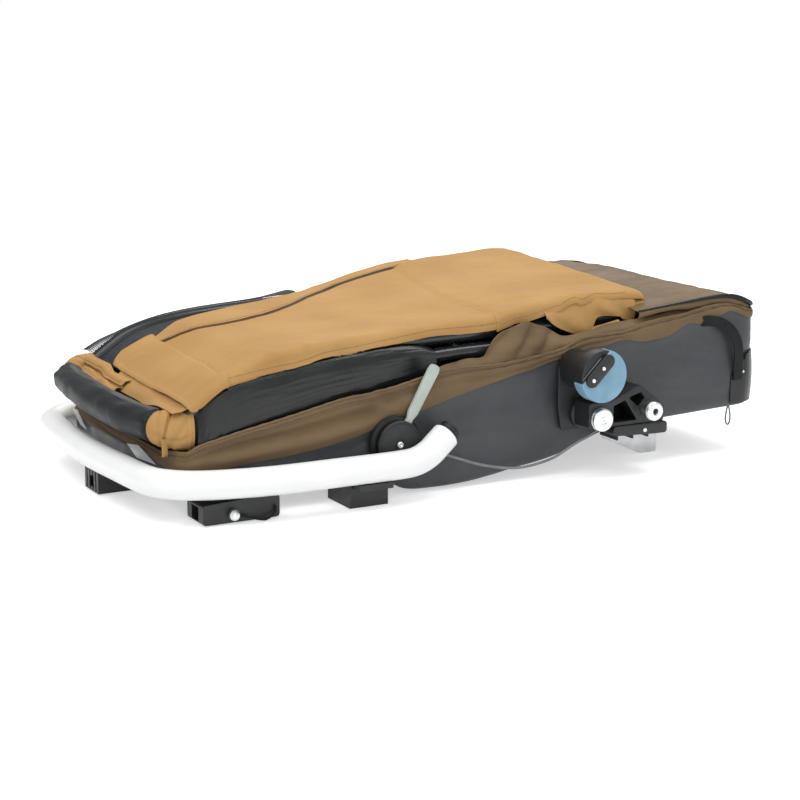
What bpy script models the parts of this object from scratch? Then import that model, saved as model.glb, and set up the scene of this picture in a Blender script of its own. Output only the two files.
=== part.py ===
"""Dog bike trailer, folded flat for storage with its wheels off.

Metres, +Z up. The trailer's front points along -X, and its near side is at -Y. The origin is at the
middle of the floor under it. The roof frame lifts about the hinge at the tub's front corners.
"""

from math import atan2, cos, pi, radians, sin, sqrt, tan

import bmesh
import bpy
from mathutils import Matrix, Vector

for old in list(bpy.data.objects):
    bpy.data.objects.remove(old)

# Clearance between pieces that touch, and a reach past the whole part
GAP = 0.0003
BEYOND = 1.0

# Tub: its plan, walls and bottom
TUB_FRONT_X = -0.487
TUB_REAR_X = 0.5665
TUB_FRONT_HALF = 0.245
TUB_REAR_HALF = 0.280
TUB_WALL = 0.003
TUB_FRONT_CORNER = 0.030
TUB_REAR_CORNER = 0.038
TUB_BOTTOM_FRONT_Z = 0.0325
TUB_BOTTOM_ANGLE = radians(2.85)
TUB_EDGE_ROUND = 0.014
CORNER_STEPS = 3
EVEN_STATIONS = 13
# How deep the tub's cloth hangs below its frame behind the bumper's blocks: (x, depth)
BELLY_LINE = [(-0.155, 0.0), (-0.135, 0.0275), (-0.110, 0.043), (-0.060, 0.049), (0.0, 0.050), (0.05, 0.046),
              (0.09, 0.041), (0.135, 0.037), (0.175, 0.030), (0.215, 0.018), (0.25, 0.007), (0.285, 0.0)]
BELLY_CLEAR = 0.015
# Side view of the dark wall's top edge and of the hem above it: (x, z)
RIM_LINE = [(-0.487, 0.070), (-0.43, 0.080), (-0.25, 0.097), (0.0, 0.154), (0.25, 0.210), (0.45, 0.246),
            (0.57, 0.2485)]
HEM_LINE = [(-0.487, 0.084), (-0.44, 0.103), (-0.393, 0.115), (-0.294, 0.140), (-0.216, 0.161),
            (-0.105, 0.181), (0.0, 0.199), (0.15, 0.222), (0.30, 0.243), (0.45, 0.2585), (0.57, 0.259)]
REAR_FABRIC_HALF = 0.225
REAR_FABRIC_LOW_Z = 0.170

# Base frame inside the tub
RAIL_WIDTH = 0.025
RAIL_HEIGHT = 0.025
RAIL_SIDE_GAP = 0.001
CROSS_TUBE = 0.021
CROSS_INTO_CORNER = 0.009
FLOOR_PANEL = 0.006

# Bumper
BUMPER_TUBE = 0.045
BUMPER_HEIGHT = 0.065
BUMPER_NOSE_X = -0.5448
BUMPER_TO_BRAKE = 0.0049
PLUG_LENGTH = 0.014
BRACKET_X = (-0.229, -0.162)
BRACKET_Y = (0.215, 0.292)
LIP_THICK = 0.010

# Roof frame and its side tubes: (x, z) in side view
FRAME_TUBE = 0.025
FRAME_INSIDE_SIDE_TUBE = 0.011
FRAME_LINE = [(0.545, 0.2465), (0.30, 0.2465), (0.10, 0.2435), (0.0, 0.242), (-0.09, 0.240), (-0.16, 0.237),
              (-0.229, 0.234), (-0.294, 0.229), (-0.35, 0.220), (-0.396, 0.205), (-0.432, 0.183)]
NOSE_LINE = [(-0.459, 0.163), (-0.478, 0.147)]
SIDE_TUBE = 0.022
SIDE_TUBE_FROM_WALL = 0.0218
SIDE_TUBE_LINE = [(0.12, 0.2155), (0.0, 0.2150), (-0.102, 0.2095), (-0.191, 0.202), (-0.295, 0.191),
                  (-0.345, 0.186), (-0.382, 0.177), (-0.408, 0.164), (-0.426, 0.147), (-0.434, 0.130)]
SLEEVE_WALL = 0.0032
SLEEVE_REAR_X = -0.03
SKIRT_DEPTH = 0.030
SKIRT_THICK = 0.004
REAR_BAR_X = 0.530
ROLL_DIAMETER = 0.048
CUFF_DIAMETER = 0.047
ROLL_SHORT_OF_FRAME = 0.028

# Hinge at the tub's front corners
HINGE_X = -0.434
HINGE_Z = 0.130
HINGE_PIN = 0.010
HINGE_PLATE = 0.005

# Rear hoop, folded forward inside the roof frame
HOOP_TUBE = 0.020
HOOP_INSIDE_FRAME = 0.0055
HOOP_PIVOT_X = 0.505
HOOP_LENGTH = 0.470
HOOP_TIP_DROP = 0.031
HOOP_CORNER = 0.035

# Cloth that lies on the roof frame
CLOTH_SEAT = 0.0014
CLOTH_FRONT_X = -0.462
CUFF_REAR_X = CLOTH_FRONT_X - 0.003
CLOTH_REAR_X = 0.375
CLOTH_OVERHANG = 0.022
CLOTH_FAR_FRONT_INSET = 0.026
CLOTH_FAR_REAR_OVERHANG = 0.048
# Thickness of the folded pile along the near and the far edge: (x, thickness)
PILE_NEAR = [(-0.47, 0.0045), (-0.20, 0.005), (0.0, 0.006), (0.10, 0.010), (0.18, 0.015), (0.30, 0.019),
             (0.375, 0.014)]
PILE_FAR = [(-0.47, 0.0045), (-0.20, 0.006), (-0.05, 0.012), (0.10, 0.030), (0.22, 0.038), (0.34, 0.044),
            (0.375, 0.042)]
FLAP_REAR_X = -0.385
FLAP_FRONT_X = CLOTH_FRONT_X
FLAP_FAR_Y = 0.165
FLAP_THICK = 0.006
FLAP_SEAT = 0.0020
TOP_PANEL_THICK = 0.005
TOP_PANEL_CROWN = 0.012
TOP_PANEL_BOTTOM_Z = 0.2598
MESH_THICK = 0.0025
MESH_REAR_X = -0.06

# Side fabric heaped between the hem and the roof frame: (x, z) of its crest
HEAP_LINE = [(-0.10, 0.189), (-0.044, 0.199), (0.011, 0.211), (0.067, 0.232), (0.114, 0.245),
             (0.150, 0.240), (0.182, 0.234), (0.25, 0.247), (0.32, 0.2555), (0.372, 0.2580)]
HEAP_PAST_SLEEVE = 0.0019

# Suspension, measured on one side; the other side mirrors it
PIVOT_X, PIVOT_Z = 0.204, 0.105
HUB_X, HUB_Z = 0.294, 0.113
ARM_FROM_WALL = 0.018
BOSS = 0.048
ARM_THICK = 0.0447
BRACKET_REAR_X = 0.335
BRACKET_PLATE = 0.006
LEDGE_Z = (0.0695, 0.0890)
LEDGE_X = (0.229, BRACKET_REAR_X)
LEDGE_PAST_ARM = 0.003
PIVOT_PIN = 0.014
PIVOT_CAP = 0.038
HUB_FLANGE = 0.031
HUB_SLEEVE = 0.019
AXLE_BORE = 0.0105
PAD_X, PAD_Z = 0.192, 0.181
PAD_DIAMETER = 0.086
PAD_DEPTH = 0.026
PAD_HOLDER = 0.062
PAD_SLICE = 0.022
CLAMP_ANGLE = radians(44.5)
CLAMP_LENGTH = 0.064
CLAMP_WIDTH = 0.0227
CLAMP_SHIFT = 0.0148
CLAMP_THICK = 0.006
FOOT_THICK = 0.004
FOOT_Y = 0.199
FOOT_X = (0.300, 0.410)

# Brake lever
BRAKE_X, BRAKE_Z = -0.134, 0.089
BRAKE_BACK = 0.088
BRAKE_COVER = 0.076
LEVER_THICK = 0.007
LEVER_REACH = 0.138
LEVER_ANGLE = radians(60)
LEVER_HUB = 0.034
BRAKE_BACK_THICK = 0.0085
BRAKE_COVER_THICK = 0.006
BRAKE_BOLT = 0.011
CABLE = 0.0044

# Tow arm receiver, its pin and the front wheel mount
RECEIVER_X = (-0.472, -0.345)
RECEIVER_Y = (0.224, 0.284)
SOCKET_WIDTH = 0.026
SOCKET_Z = (0.0055, 0.0275)
SOCKET_END_WALL = 0.012
PIN_X = -0.424
PIN_Z = 0.016
PIN = 0.008
PIN_HEAD = 0.018
LANYARD = 0.0036
MOUNT_BOTTOM_Z = 0.002
WHEEL_MOUNT_X = (-0.543, -0.452)
WHEEL_MOUNT_HALF = 0.030
WHEEL_BORE = 0.020
WHEEL_BORE_Z = (0.009, 0.027)
WHEEL_BORE_DEPTH = 0.060

# Zip loop, strap and reflective patches
LOOP_WIRE = 0.0026
LOOP_X = 0.520
LOOP_HEIGHT = 0.034
LOOP_IN_FROM_SIDE = 0.020
STRAP_WIDTH = 0.018
REFLECTORS = {"near": (-0.150, -0.060), "far": (0.160, 0.213)}


def linear(line, x):
    """Height of a side-view line at x; the line may run either way."""
    points = sorted(line)
    if x <= points[0][0]:
        return points[0][1]
    for (x0, z0), (x1, z1) in zip(points, points[1:]):
        if x <= x1:
            return z0 + (z1 - z0) * (x - x0) / (x1 - x0)
    return points[-1][1]


def tub_half(x):
    share = (x - TUB_FRONT_X) / (TUB_REAR_X - TUB_FRONT_X)
    return TUB_FRONT_HALF + (TUB_REAR_HALF - TUB_FRONT_HALF) * share


def tub_bottom(x):
    return TUB_BOTTOM_FRONT_Z + (x - TUB_FRONT_X) * tan(TUB_BOTTOM_ANGLE)


def belly_bottom(x):
    """Underside of the cloth, which hangs in a belly but stays off the ground."""
    return max(tub_bottom(x) - linear(BELLY_LINE, x), MOUNT_BOTTOM_Z)


# Half widths that follow from the tub's walls: each layer sits beside the one before it
BRAKE_INNER = tub_half(BRAKE_X + BRAKE_BACK / 2) + GAP
BRAKE_STACK = BRAKE_BACK_THICK + LEVER_THICK + 2 * GAP + BRAKE_COVER_THICK
BUMPER_HALF = BRAKE_INNER + BRAKE_STACK + BUMPER_TO_BRAKE + BUMPER_TUBE / 2
ARM_INNER = tub_half(BRACKET_REAR_X) + ARM_FROM_WALL
LEDGE_OUTER = ARM_INNER + ARM_THICK + LEDGE_PAST_ARM
SIDE_TUBE_HALF = tub_half(HINGE_X) - SIDE_TUBE_FROM_WALL
SLEEVE_DIAMETER = SIDE_TUBE + 2 * GAP + 2 * SLEEVE_WALL
HEAP_INNER = SIDE_TUBE_HALF + SLEEVE_DIAMETER / 2 + HEAP_PAST_SLEEVE
FRAME_HALF = SIDE_TUBE_HALF - FRAME_INSIDE_SIDE_TUBE
ROLL_HALF = FRAME_HALF - ROLL_SHORT_OF_FRAME
HOOP_HALF = FRAME_HALF - FRAME_TUBE / 2 - HOOP_INSIDE_FRAME - HOOP_TUBE / 2
CLOTH_NEAR_Y = -FRAME_HALF - CLOTH_OVERHANG
CLOTH_FAR_FRONT_Y = FRAME_HALF - CLOTH_FAR_FRONT_INSET
CLOTH_FAR_REAR_Y = FRAME_HALF + CLOTH_FAR_REAR_OVERHANG


def frame_top(x):
    """Top of the roof frame's tubes, where the cloth lies."""
    line = FRAME_LINE + NOSE_LINE
    reach = 0.008
    slope = (linear(line, x + reach) - linear(line, x - reach)) / (2 * reach)
    return linear(line, x) + FRAME_TUBE / 2 * sqrt(1 + slope * slope) + CLOTH_SEAT


# Collections, materials and the making of objects

trailer = bpy.data.collections.new("dog_bike_trailer")
bpy.context.scene.collection.children.link(trailer)


def material(name, colour, roughness, metallic=0.0):
    made = bpy.data.materials.new(name)
    made.use_nodes = True
    shader = made.node_tree.nodes["Principled BSDF"]
    shader.inputs["Base Color"].default_value = (*colour, 1)
    shader.inputs["Roughness"].default_value = roughness
    shader.inputs["Metallic"].default_value = metallic
    return made


COATED_FABRIC = material("coated_fabric", (0.055, 0.058, 0.064), 0.5)
OLIVE_FABRIC = material("olive_fabric", (0.26, 0.18, 0.10), 0.8)
GOLD_CANVAS = material("gold_canvas", (0.55, 0.32, 0.11), 0.85)
BLACK_MESH = material("black_mesh", (0.03, 0.03, 0.035), 0.7)
BLACK_PLASTIC = material("black_plastic", (0.02, 0.02, 0.022), 0.45)
BLACK_FRAME = material("black_frame", (0.03, 0.032, 0.036), 0.35, 0.6)
WHITE_PAINT = material("white_paint", (0.86, 0.87, 0.86), 0.3)
GREY_LEVER = material("grey_lever", (0.45, 0.51, 0.46), 0.45)
BLUE_RUBBER = material("blue_rubber", (0.20, 0.37, 0.50), 0.5)
STEEL = material("steel", (0.8, 0.8, 0.8), 0.25, 1.0)
WEBBING = material("webbing", (0.02, 0.02, 0.022), 0.85)
REFLECTIVE = material("reflective", (0.75, 0.77, 0.78), 0.3)
BARE_ALUMINIUM = material("bare_aluminium", (0.75, 0.76, 0.78), 0.35, 1.0)
WIRE = material("wire", (0.35, 0.35, 0.36), 0.4, 0.5)


def place(name, data, look):
    made = bpy.data.objects.new(name, data)
    trailer.objects.link(made)
    data.materials.append(look)
    return made


def from_bmesh(name, bm, look, smooth=True):
    bmesh.ops.recalc_face_normals(bm, faces=bm.faces)
    data = bpy.data.meshes.new(name)
    bm.to_mesh(data)
    bm.free()
    if smooth:
        data.shade_smooth()
        data.set_sharp_from_angle(angle=radians(35))
    return place(name, data, look)


def bevel(piece, width, segments=1):
    rounding = piece.modifiers.new("round", "BEVEL")
    rounding.width = width
    rounding.segments = segments
    rounding.limit_method = "ANGLE"
    rounding.angle_limit = radians(40)
    return piece


def box(name, low, high, look, edge=0.0):
    bm = bmesh.new()
    size = [b - a for a, b in zip(low, high)]
    middle = [(a + b) / 2 for a, b in zip(low, high)]
    bmesh.ops.create_cube(bm, size=1.0, matrix=Matrix.Translation(middle) @ Matrix.Diagonal((*size, 1)))
    made = from_bmesh(name, bm, look, smooth=False)
    return bevel(made, edge) if edge else made


def side_box(name, side, low, high, look):
    """A box given for the far side (+Y), placed on either side."""
    y = sorted((side * low[1], side * high[1]))
    return box(name, (low[0], y[0], low[2]), (high[0], y[1], high[2]), look)


def beam(name, start, end, width, height, look):
    """A straight bar of rectangular section from start to end."""
    start, end = Vector(start), Vector(end)
    along = (end - start).normalized()
    across = Vector((0, 0, 1)).cross(along).normalized()
    upward = along.cross(across)
    turn = Matrix((along, across, upward)).transposed().to_4x4()
    size = Matrix.Diagonal(((end - start).length, width, height, 1))
    bm = bmesh.new()
    bmesh.ops.create_cube(bm, size=1.0, matrix=Matrix.Translation((start + end) / 2) @ turn @ size)
    return from_bmesh(name, bm, look, smooth=False)


def ring_solid(name, rings, look, smooth=True):
    """A closed solid through rings of equally many points, with flat ends."""
    bm = bmesh.new()
    rows = [[bm.verts.new(point) for point in ring] for ring in rings]
    count = len(rings[0])
    for a, b in zip(rows, rows[1:]):
        for i in range(count):
            j = (i + 1) % count
            bm.faces.new((a[i], a[j], b[j], b[i]))
    bm.faces.new(rows[0])
    bm.faces.new(rows[-1])
    return from_bmesh(name, bm, look, smooth)


def sheet_solid(name, corner, top, bottom, columns, rows, look):
    """A closed sheet: corner(u, v) gives its plan point, top and bottom its heights there."""
    bm = bmesh.new()
    faces = {}
    for side, height in (("top", top), ("bottom", bottom)):
        faces[side] = []
        for i in range(columns + 1):
            line = []
            for j in range(rows + 1):
                x, y = corner(i / columns, j / rows)
                line.append(bm.verts.new((x, y, height(x, y))))
            faces[side].append(line)
    for grid in faces.values():
        for i in range(columns):
            for j in range(rows):
                bm.faces.new((grid[i][j], grid[i + 1][j], grid[i + 1][j + 1], grid[i][j + 1]))
    upper, lower = faces["top"], faces["bottom"]
    edge = [(i, 0) for i in range(columns)] + [(columns, j) for j in range(rows)]
    edge += [(i, rows) for i in range(columns, 0, -1)] + [(0, j) for j in range(rows, 0, -1)]
    for (i, j), (k, m) in zip(edge, edge[1:] + edge[:1]):
        bm.faces.new((upper[i][j], upper[k][m], lower[k][m], lower[i][j]))
    return from_bmesh(name, bm, look)


def turned(name, profile, centre, outward, look, steps=20):
    """A turned solid. The profile's (radius, height) points run down its outer side, height along Y."""
    data = bpy.data.meshes.new(name)
    closed = profile[0][0] > 0
    edges = [(i, i + 1) for i in range(len(profile) - 1)]
    if closed:
        edges.append((len(profile) - 1, 0))
    data.from_pydata([(radius, 0, height) for radius, height in profile], edges, [])
    made = place(name, data, look)
    screw = made.modifiers.new("turn", "SCREW")
    screw.axis = "Z"
    screw.steps = screw.render_steps = steps
    screw.use_merge_vertices = True
    screw.merge_threshold = 0.00001
    made.location = centre
    made.rotation_euler = (-pi / 2 if outward > 0 else pi / 2, 0, 0)
    return made


def tube(name, points, diameter, look, resolution=2, cyclic=False):
    data = bpy.data.curves.new(name, "CURVE")
    data.dimensions = "3D"
    data.bevel_depth = diameter / 2
    data.bevel_resolution = resolution
    data.use_fill_caps = not cyclic
    spline = data.splines.new("POLY")
    spline.points.add(len(points) - 1)
    for point, place_at in zip(spline.points, points):
        point.co = (*place_at, 1)
    spline.use_cyclic_u = cyclic
    return place(name, data, look)


def smooth_path(points, pieces):
    """Points of a smooth curve through the route's own points."""
    route = [Vector(p) for p in points]
    route = [2 * route[0] - route[1]] + route + [2 * route[-1] - route[-2]]
    made = []
    for a, b, c, d in zip(route, route[1:], route[2:], route[3:]):
        for step in range(pieces):
            t = step / pieces
            made.append(0.5 * (2 * b + (c - a) * t + (2 * a - 5 * b + 4 * c - d) * t * t
                               + (3 * b - a - 3 * c + d) * t ** 3))
    return made + [route[-2]]


def plate(name, outlines, side, inner, thick, look):
    """Flat outlines in side view (x, z): a rim, then its holes. They reach from inner outward along Y."""
    data = bpy.data.curves.new(name, "CURVE")
    data.dimensions = "2D"
    data.fill_mode = "BOTH"
    data.extrude = thick / 2
    for outline in outlines:
        spline = data.splines.new("POLY")
        spline.points.add(len(outline) - 1)
        for point, (x, z) in zip(spline.points, outline):
            point.co = (x, z, 0, 1)
        spline.use_cyclic_u = True
    made = place(name, data, look)
    made.rotation_euler = (pi / 2, 0, 0)
    made.location = (0, side * (inner + thick / 2), 0)
    return made


def circle(x, z, radius, count=20, start=0.0, sweep=2 * pi):
    return [(x + radius * cos(start + sweep * i / count), z + radius * sin(start + sweep * i / count))
            for i in range(count)]


def rounded(corners, radius, steps=3):
    """A closed outline with its corners rounded."""
    made = []
    count = len(corners)
    for i in range(count):
        here = Vector(corners[i])
        before = (Vector(corners[i - 1]) - here).normalized()
        after = (Vector(corners[(i + 1) % count]) - here).normalized()
        half = before.angle(after) / 2
        reach = min(radius / tan(half), 0.45 * (Vector(corners[i - 1]) - here).length,
                    0.45 * (Vector(corners[(i + 1) % count]) - here).length)
        for step in range(steps + 1):
            t = step / steps
            made.append(tuple((here + before * reach) * (1 - t) ** 2 + here * 2 * t * (1 - t)
                              + (here + after * reach) * t * t))
    return made


def as_mesh(piece):
    """The piece with its modifiers applied, as a mesh whose caps are welded."""
    graph = bpy.context.evaluated_depsgraph_get()
    data = bpy.data.meshes.new_from_object(piece.evaluated_get(graph))
    data.transform(piece.matrix_world)
    bm = bmesh.new()
    bm.from_mesh(data)
    bmesh.ops.remove_doubles(bm, verts=bm.verts, dist=0.000002)
    bmesh.ops.recalc_face_normals(bm, faces=bm.faces)
    bm.to_mesh(data)
    bm.free()
    name, look = piece.name, piece.active_material
    bpy.data.objects.remove(piece)
    data.name = name
    if not data.materials:
        data.materials.append(look)
    made = bpy.data.objects.new(name, data)
    trailer.objects.link(made)
    return made


def combine(piece, other, operation):
    """The piece joined with or cut by another one, which is used up."""
    bpy.context.view_layer.update()
    piece, other = as_mesh(piece), as_mesh(other)
    step = piece.modifiers.new("combine", "BOOLEAN")
    step.operation = operation
    step.object = other
    bpy.context.view_layer.update()
    made = as_mesh(piece)
    bpy.data.objects.remove(other)
    made.data.shade_smooth()
    made.data.set_sharp_from_angle(angle=radians(35))
    return made


def cut(piece, other):
    return combine(piece, other, "DIFFERENCE")


def join(piece, other):
    return combine(piece, other, "UNION")


def body(name, location, pieces):
    """An empty on a joint's axis that carries the pieces of one moving body."""
    bpy.context.view_layer.update()
    carrier = bpy.data.objects.new(name, None)
    carrier.location = location
    carrier.empty_display_size = 0.05
    trailer.objects.link(carrier)
    for piece in pieces:
        piece.parent = carrier
        piece.matrix_parent_inverse = Matrix.Translation(location).inverted()
    return carrier


SIDES = (("near", -1), ("far", 1))


# Tub

def tub_corner(x, radius, inset, toward):
    """Points of a rounded near corner whose straight wall meets it at x; toward is the end it turns to."""
    points = []
    for step in range(CORNER_STEPS + 1):
        turn = pi / 2 * step / CORNER_STEPS
        y = tub_half(x) - inset - radius * (1 - cos(turn))
        points.append((x + toward * radius * sin(turn), -y))
    return points


def wall_stations():
    """Where the walls and the floor have points between the corners: evenly, and closer at the belly."""
    belly = [x for x, _ in BELLY_LINE]
    reach = TUB_REAR_X - TUB_FRONT_X
    even = [TUB_FRONT_X + reach * step / EVEN_STATIONS for step in range(1, EVEN_STATIONS)]
    return sorted(belly + [x for x in even if not belly[0] - BELLY_CLEAR < x < belly[-1] + BELLY_CLEAR])


WALL_STATIONS = wall_stations()


def tub_plan(inset=0.0):
    """The tub's outline from above, from the near front corner round the rear, as (x, y)."""
    first = TUB_FRONT_X + inset + TUB_FRONT_CORNER
    last = TUB_REAR_X - inset - TUB_REAR_CORNER
    near = list(reversed(tub_corner(first, TUB_FRONT_CORNER, inset, -1)))
    near += [(x, -(tub_half(x) - inset)) for x in WALL_STATIONS]
    near += tub_corner(last, TUB_REAR_CORNER, inset, 1)
    return near + [(x, -y) for x, y in reversed(near)]


def tub_skin(name, levels, look, bottom):
    """An open skin through rings at the given levels (inset, height at x), thickened inward."""
    bm = bmesh.new()
    rows = []
    for inset, height in levels:
        rows.append([bm.verts.new((x, y, height(x))) for x, y in tub_plan(inset)])
    count = len(rows[0])
    for a, b in zip(rows, rows[1:]):
        for i in range(count):
            j = (i + 1) % count
            bm.faces.new((a[i], a[j], b[j], b[i]))
    if bottom:
        # Strips across the floor, from each near point to the far point beside it
        low = rows[0]
        for i in range(count // 2 - 1):
            bm.faces.new((low[i], low[i + 1], low[-2 - i], low[-1 - i]))
    made = from_bmesh(name, bm, look)
    wall = made.modifiers.new("wall", "SOLIDIFY")
    wall.thickness = TUB_WALL
    wall.offset = -1
    wall.use_even_offset = True
    return made


tub_skin("tub_shell", [(TUB_EDGE_ROUND * 0.7, belly_bottom),
                       (0.0, lambda x: belly_bottom(x) + TUB_EDGE_ROUND),
                       (0.0, lambda x: linear(RIM_LINE, x))], COATED_FABRIC, True)
tub_skin("tub_band", [(0.0, lambda x: linear(RIM_LINE, x) + GAP),
                      (0.0, lambda x: linear(HEM_LINE, x))], OLIVE_FABRIC, False)


# Base frame and floor panel

def rail_point(x, side):
    """Middle of a side rail at x."""
    y = tub_half(x) - TUB_WALL - RAIL_SIDE_GAP - TUB_EDGE_ROUND - RAIL_WIDTH / 2
    return (x, side * y, tub_bottom(x) + TUB_WALL + 2 * GAP + RAIL_HEIGHT / 2)


FRONT_CROSS_X = TUB_FRONT_X + TUB_FRONT_CORNER + RAIL_WIDTH / 2 - CROSS_INTO_CORNER
REAR_CROSS_X = TUB_REAR_X - TUB_REAR_CORNER - RAIL_WIDTH / 2 + CROSS_INTO_CORNER
for side_name, side in SIDES:
    beam("rail_" + side_name, rail_point(FRONT_CROSS_X - RAIL_WIDTH / 2, side),
         rail_point(REAR_CROSS_X + RAIL_WIDTH / 2, side), RAIL_WIDTH, RAIL_HEIGHT, BARE_ALUMINIUM)
for cross_name, cross_x in (("front_cross_tube", FRONT_CROSS_X), ("rear_cross_tube", REAR_CROSS_X)):
    reach = rail_point(cross_x, 1)[1] - RAIL_WIDTH / 2 - 3 * GAP
    height = rail_point(cross_x, 1)[2]
    beam(cross_name, (cross_x, -reach, height), (cross_x, reach, height), CROSS_TUBE, CROSS_TUBE,
         BARE_ALUMINIUM)

floor_rings = []
for floor_x in (FRONT_CROSS_X + RAIL_WIDTH / 2 + GAP, REAR_CROSS_X - RAIL_WIDTH / 2 - GAP):
    reach = rail_point(floor_x, 1)[1] - RAIL_WIDTH / 2 - 3 * GAP
    low = tub_bottom(floor_x) + TUB_WALL + 2 * GAP
    floor_rings.append([(floor_x, -reach, low), (floor_x, reach, low),
                        (floor_x, reach, low + FLOOR_PANEL), (floor_x, -reach, low + FLOOR_PANEL)])
ring_solid("floor_panel", floor_rings, BLACK_PLASTIC, smooth=False)


# Bumper, its plugs and its brackets

def bumper_half_route():
    """Centre line from the near arm's rear end to the nose: how far in from the arm, and how high."""
    arm = [(-0.0600, 0.0135, 0.0345), (-0.0775, 0.009, 0.0225), (-0.0945, 0.0045, 0.0115),
           (-0.118, 0.001, 0.0025), (-0.150, 0.0, -0.0005), (-0.25, -0.001, 0.0), (-0.36, 0.002, 0.0),
           (-0.43, 0.014, 0.0), (-0.478, 0.030, 0.0), (-0.510, 0.054, 0.0), (-0.530, 0.090, 0.0)]
    route = [(x, inward - BUMPER_HALF, BUMPER_HEIGHT + rise) for x, inward, rise in arm]
    return route + [(BUMPER_NOSE_X + 0.007, -0.14, BUMPER_HEIGHT), (BUMPER_NOSE_X, 0.0, BUMPER_HEIGHT)]


half_route = bumper_half_route()
bumper_route = half_route + [(x, -y, z) for x, y, z in reversed(half_route[:-1])]
bumper_path = smooth_path(bumper_route, 2)
tube("bumper", bumper_path, BUMPER_TUBE, WHITE_PAINT, resolution=3)

# Shares of the plug's length where its two grooves begin and end, with the radius there
plug_steps = [(0, 1), (0.3, 1), (0.32, 0.9), (0.36, 0.9), (0.38, 1), (0.62, 1), (0.64, 0.9), (0.68, 0.9),
              (0.7, 1), (1, 1)]
for side_name, side in SIDES:
    end = Vector(bumper_path[0] if side < 0 else bumper_path[-1])
    inner = Vector(bumper_path[1] if side < 0 else bumper_path[-2])
    along = (end - inner).normalized()
    plug_path = [end + along * (2 * GAP + PLUG_LENGTH * share) for share, _ in plug_steps]
    plug = tube("bumper_plug_" + side_name, plug_path, BUMPER_TUBE - 0.004, BLACK_PLASTIC)
    for point, (_, radius) in zip(plug.data.splines[0].points, plug_steps):
        point.radius = radius

    top_z = BUMPER_HEIGHT - BUMPER_TUBE / 2 - GAP
    front, rear = BRACKET_X
    inner_y, outer_y = BRACKET_Y
    block = side_box("bumper_bracket_" + side_name, side, (front, inner_y, 0.0), (rear, outer_y, top_z),
                     BLACK_PLASTIC)
    lip = side_box("lip", side, (front + 0.004, outer_y - 0.01, top_z - LIP_THICK),
                   (rear - 0.004, BUMPER_HALF + 0.010, top_z - 0.0004), BLACK_PLASTIC)
    seat = side_box("seat", side, (front + 0.001, inner_y + 0.001, 0.004),
                    (rear - 0.001, 0.240, tub_bottom(front) - GAP), BLACK_PLASTIC)
    bevel(join(join(block, lip), seat), 0.002)


# Front wheel mount

mount_low, mount_high = WHEEL_MOUNT_X
nose = box("front_wheel_mount", (mount_low, -WHEEL_MOUNT_HALF, MOUNT_BOTTOM_Z),
           (TUB_FRONT_X - 0.001, WHEEL_MOUNT_HALF, BUMPER_HEIGHT - BUMPER_TUBE / 2 - GAP), BLACK_PLASTIC)
tail = box("tail", (TUB_FRONT_X - 0.003, -WHEEL_MOUNT_HALF - 0.010, 0.004),
           (mount_high, WHEEL_MOUNT_HALF + 0.010, TUB_BOTTOM_FRONT_Z - GAP), BLACK_PLASTIC)
mount = join(nose, tail)
for rib in range(4):
    rib_y = -WHEEL_MOUNT_HALF + 0.0085 + 0.013 * rib
    groove = box("groove", (mount_low - 0.001, rib_y, 0.004), (mount_low + 0.004, rib_y + 0.0045, 0.039),
                 BLACK_PLASTIC)
    mount = cut(mount, groove)
wheel_bore = box("wheel_bore", (mount_low - 0.01, -WHEEL_BORE / 2, WHEEL_BORE_Z[0]),
                 (mount_low + WHEEL_BORE_DEPTH, WHEEL_BORE / 2, WHEEL_BORE_Z[1]), BLACK_PLASTIC)
cut(mount, wheel_bore)


# Tow arm receiver at the near front corner, its pin and the lanyard

receiver_front, receiver_rear = RECEIVER_X
rim_outline = rounded([(receiver_front, MOUNT_BOTTOM_Z), (receiver_rear, MOUNT_BOTTOM_Z),
                       (receiver_rear, tub_bottom(receiver_rear) - GAP),
                       (receiver_front, tub_bottom(receiver_front) - GAP)], 0.006)
receiver_inner, receiver_outer = RECEIVER_Y
receiver = plate("tow_receiver", [rim_outline], -1, receiver_inner, receiver_outer - receiver_inner,
                 BLACK_PLASTIC)
socket_y = -(receiver_inner + receiver_outer) / 2
socket = box("socket", (receiver_front - 0.01, socket_y - SOCKET_WIDTH / 2, SOCKET_Z[0]),
             (receiver_rear - SOCKET_END_WALL, socket_y + SOCKET_WIDTH / 2, SOCKET_Z[1]), BLACK_PLASTIC)
receiver = cut(receiver, socket)
pin_hole = turned("pin_hole", [(0, 0.1), (PIN / 2 + GAP, 0.1), (PIN / 2 + GAP, 0), (0, 0)],
                  (PIN_X, -receiver_inner + 0.01, PIN_Z), -1, BLACK_PLASTIC, 12)
cut(receiver, pin_hole)
pin_head_y = -receiver_outer - GAP
pin_inner = -(receiver_outer - receiver_inner - 0.004)
head = PIN_HEAD / 2
head_profile = [(0, 1.9), (0.6, 1.7), (0.95, 1.2), (1, 0.7), (0.8, 0.25), (0.55, 0)]
pin_profile = [(head * radius, head * height) for radius, height in head_profile]
tow_pin = turned("tow_pin", pin_profile + [(PIN / 2, 0.0), (PIN / 2, pin_inner), (0, pin_inner)],
                 (PIN_X, pin_head_y, PIN_Z), -1, STEEL, 14)
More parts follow.
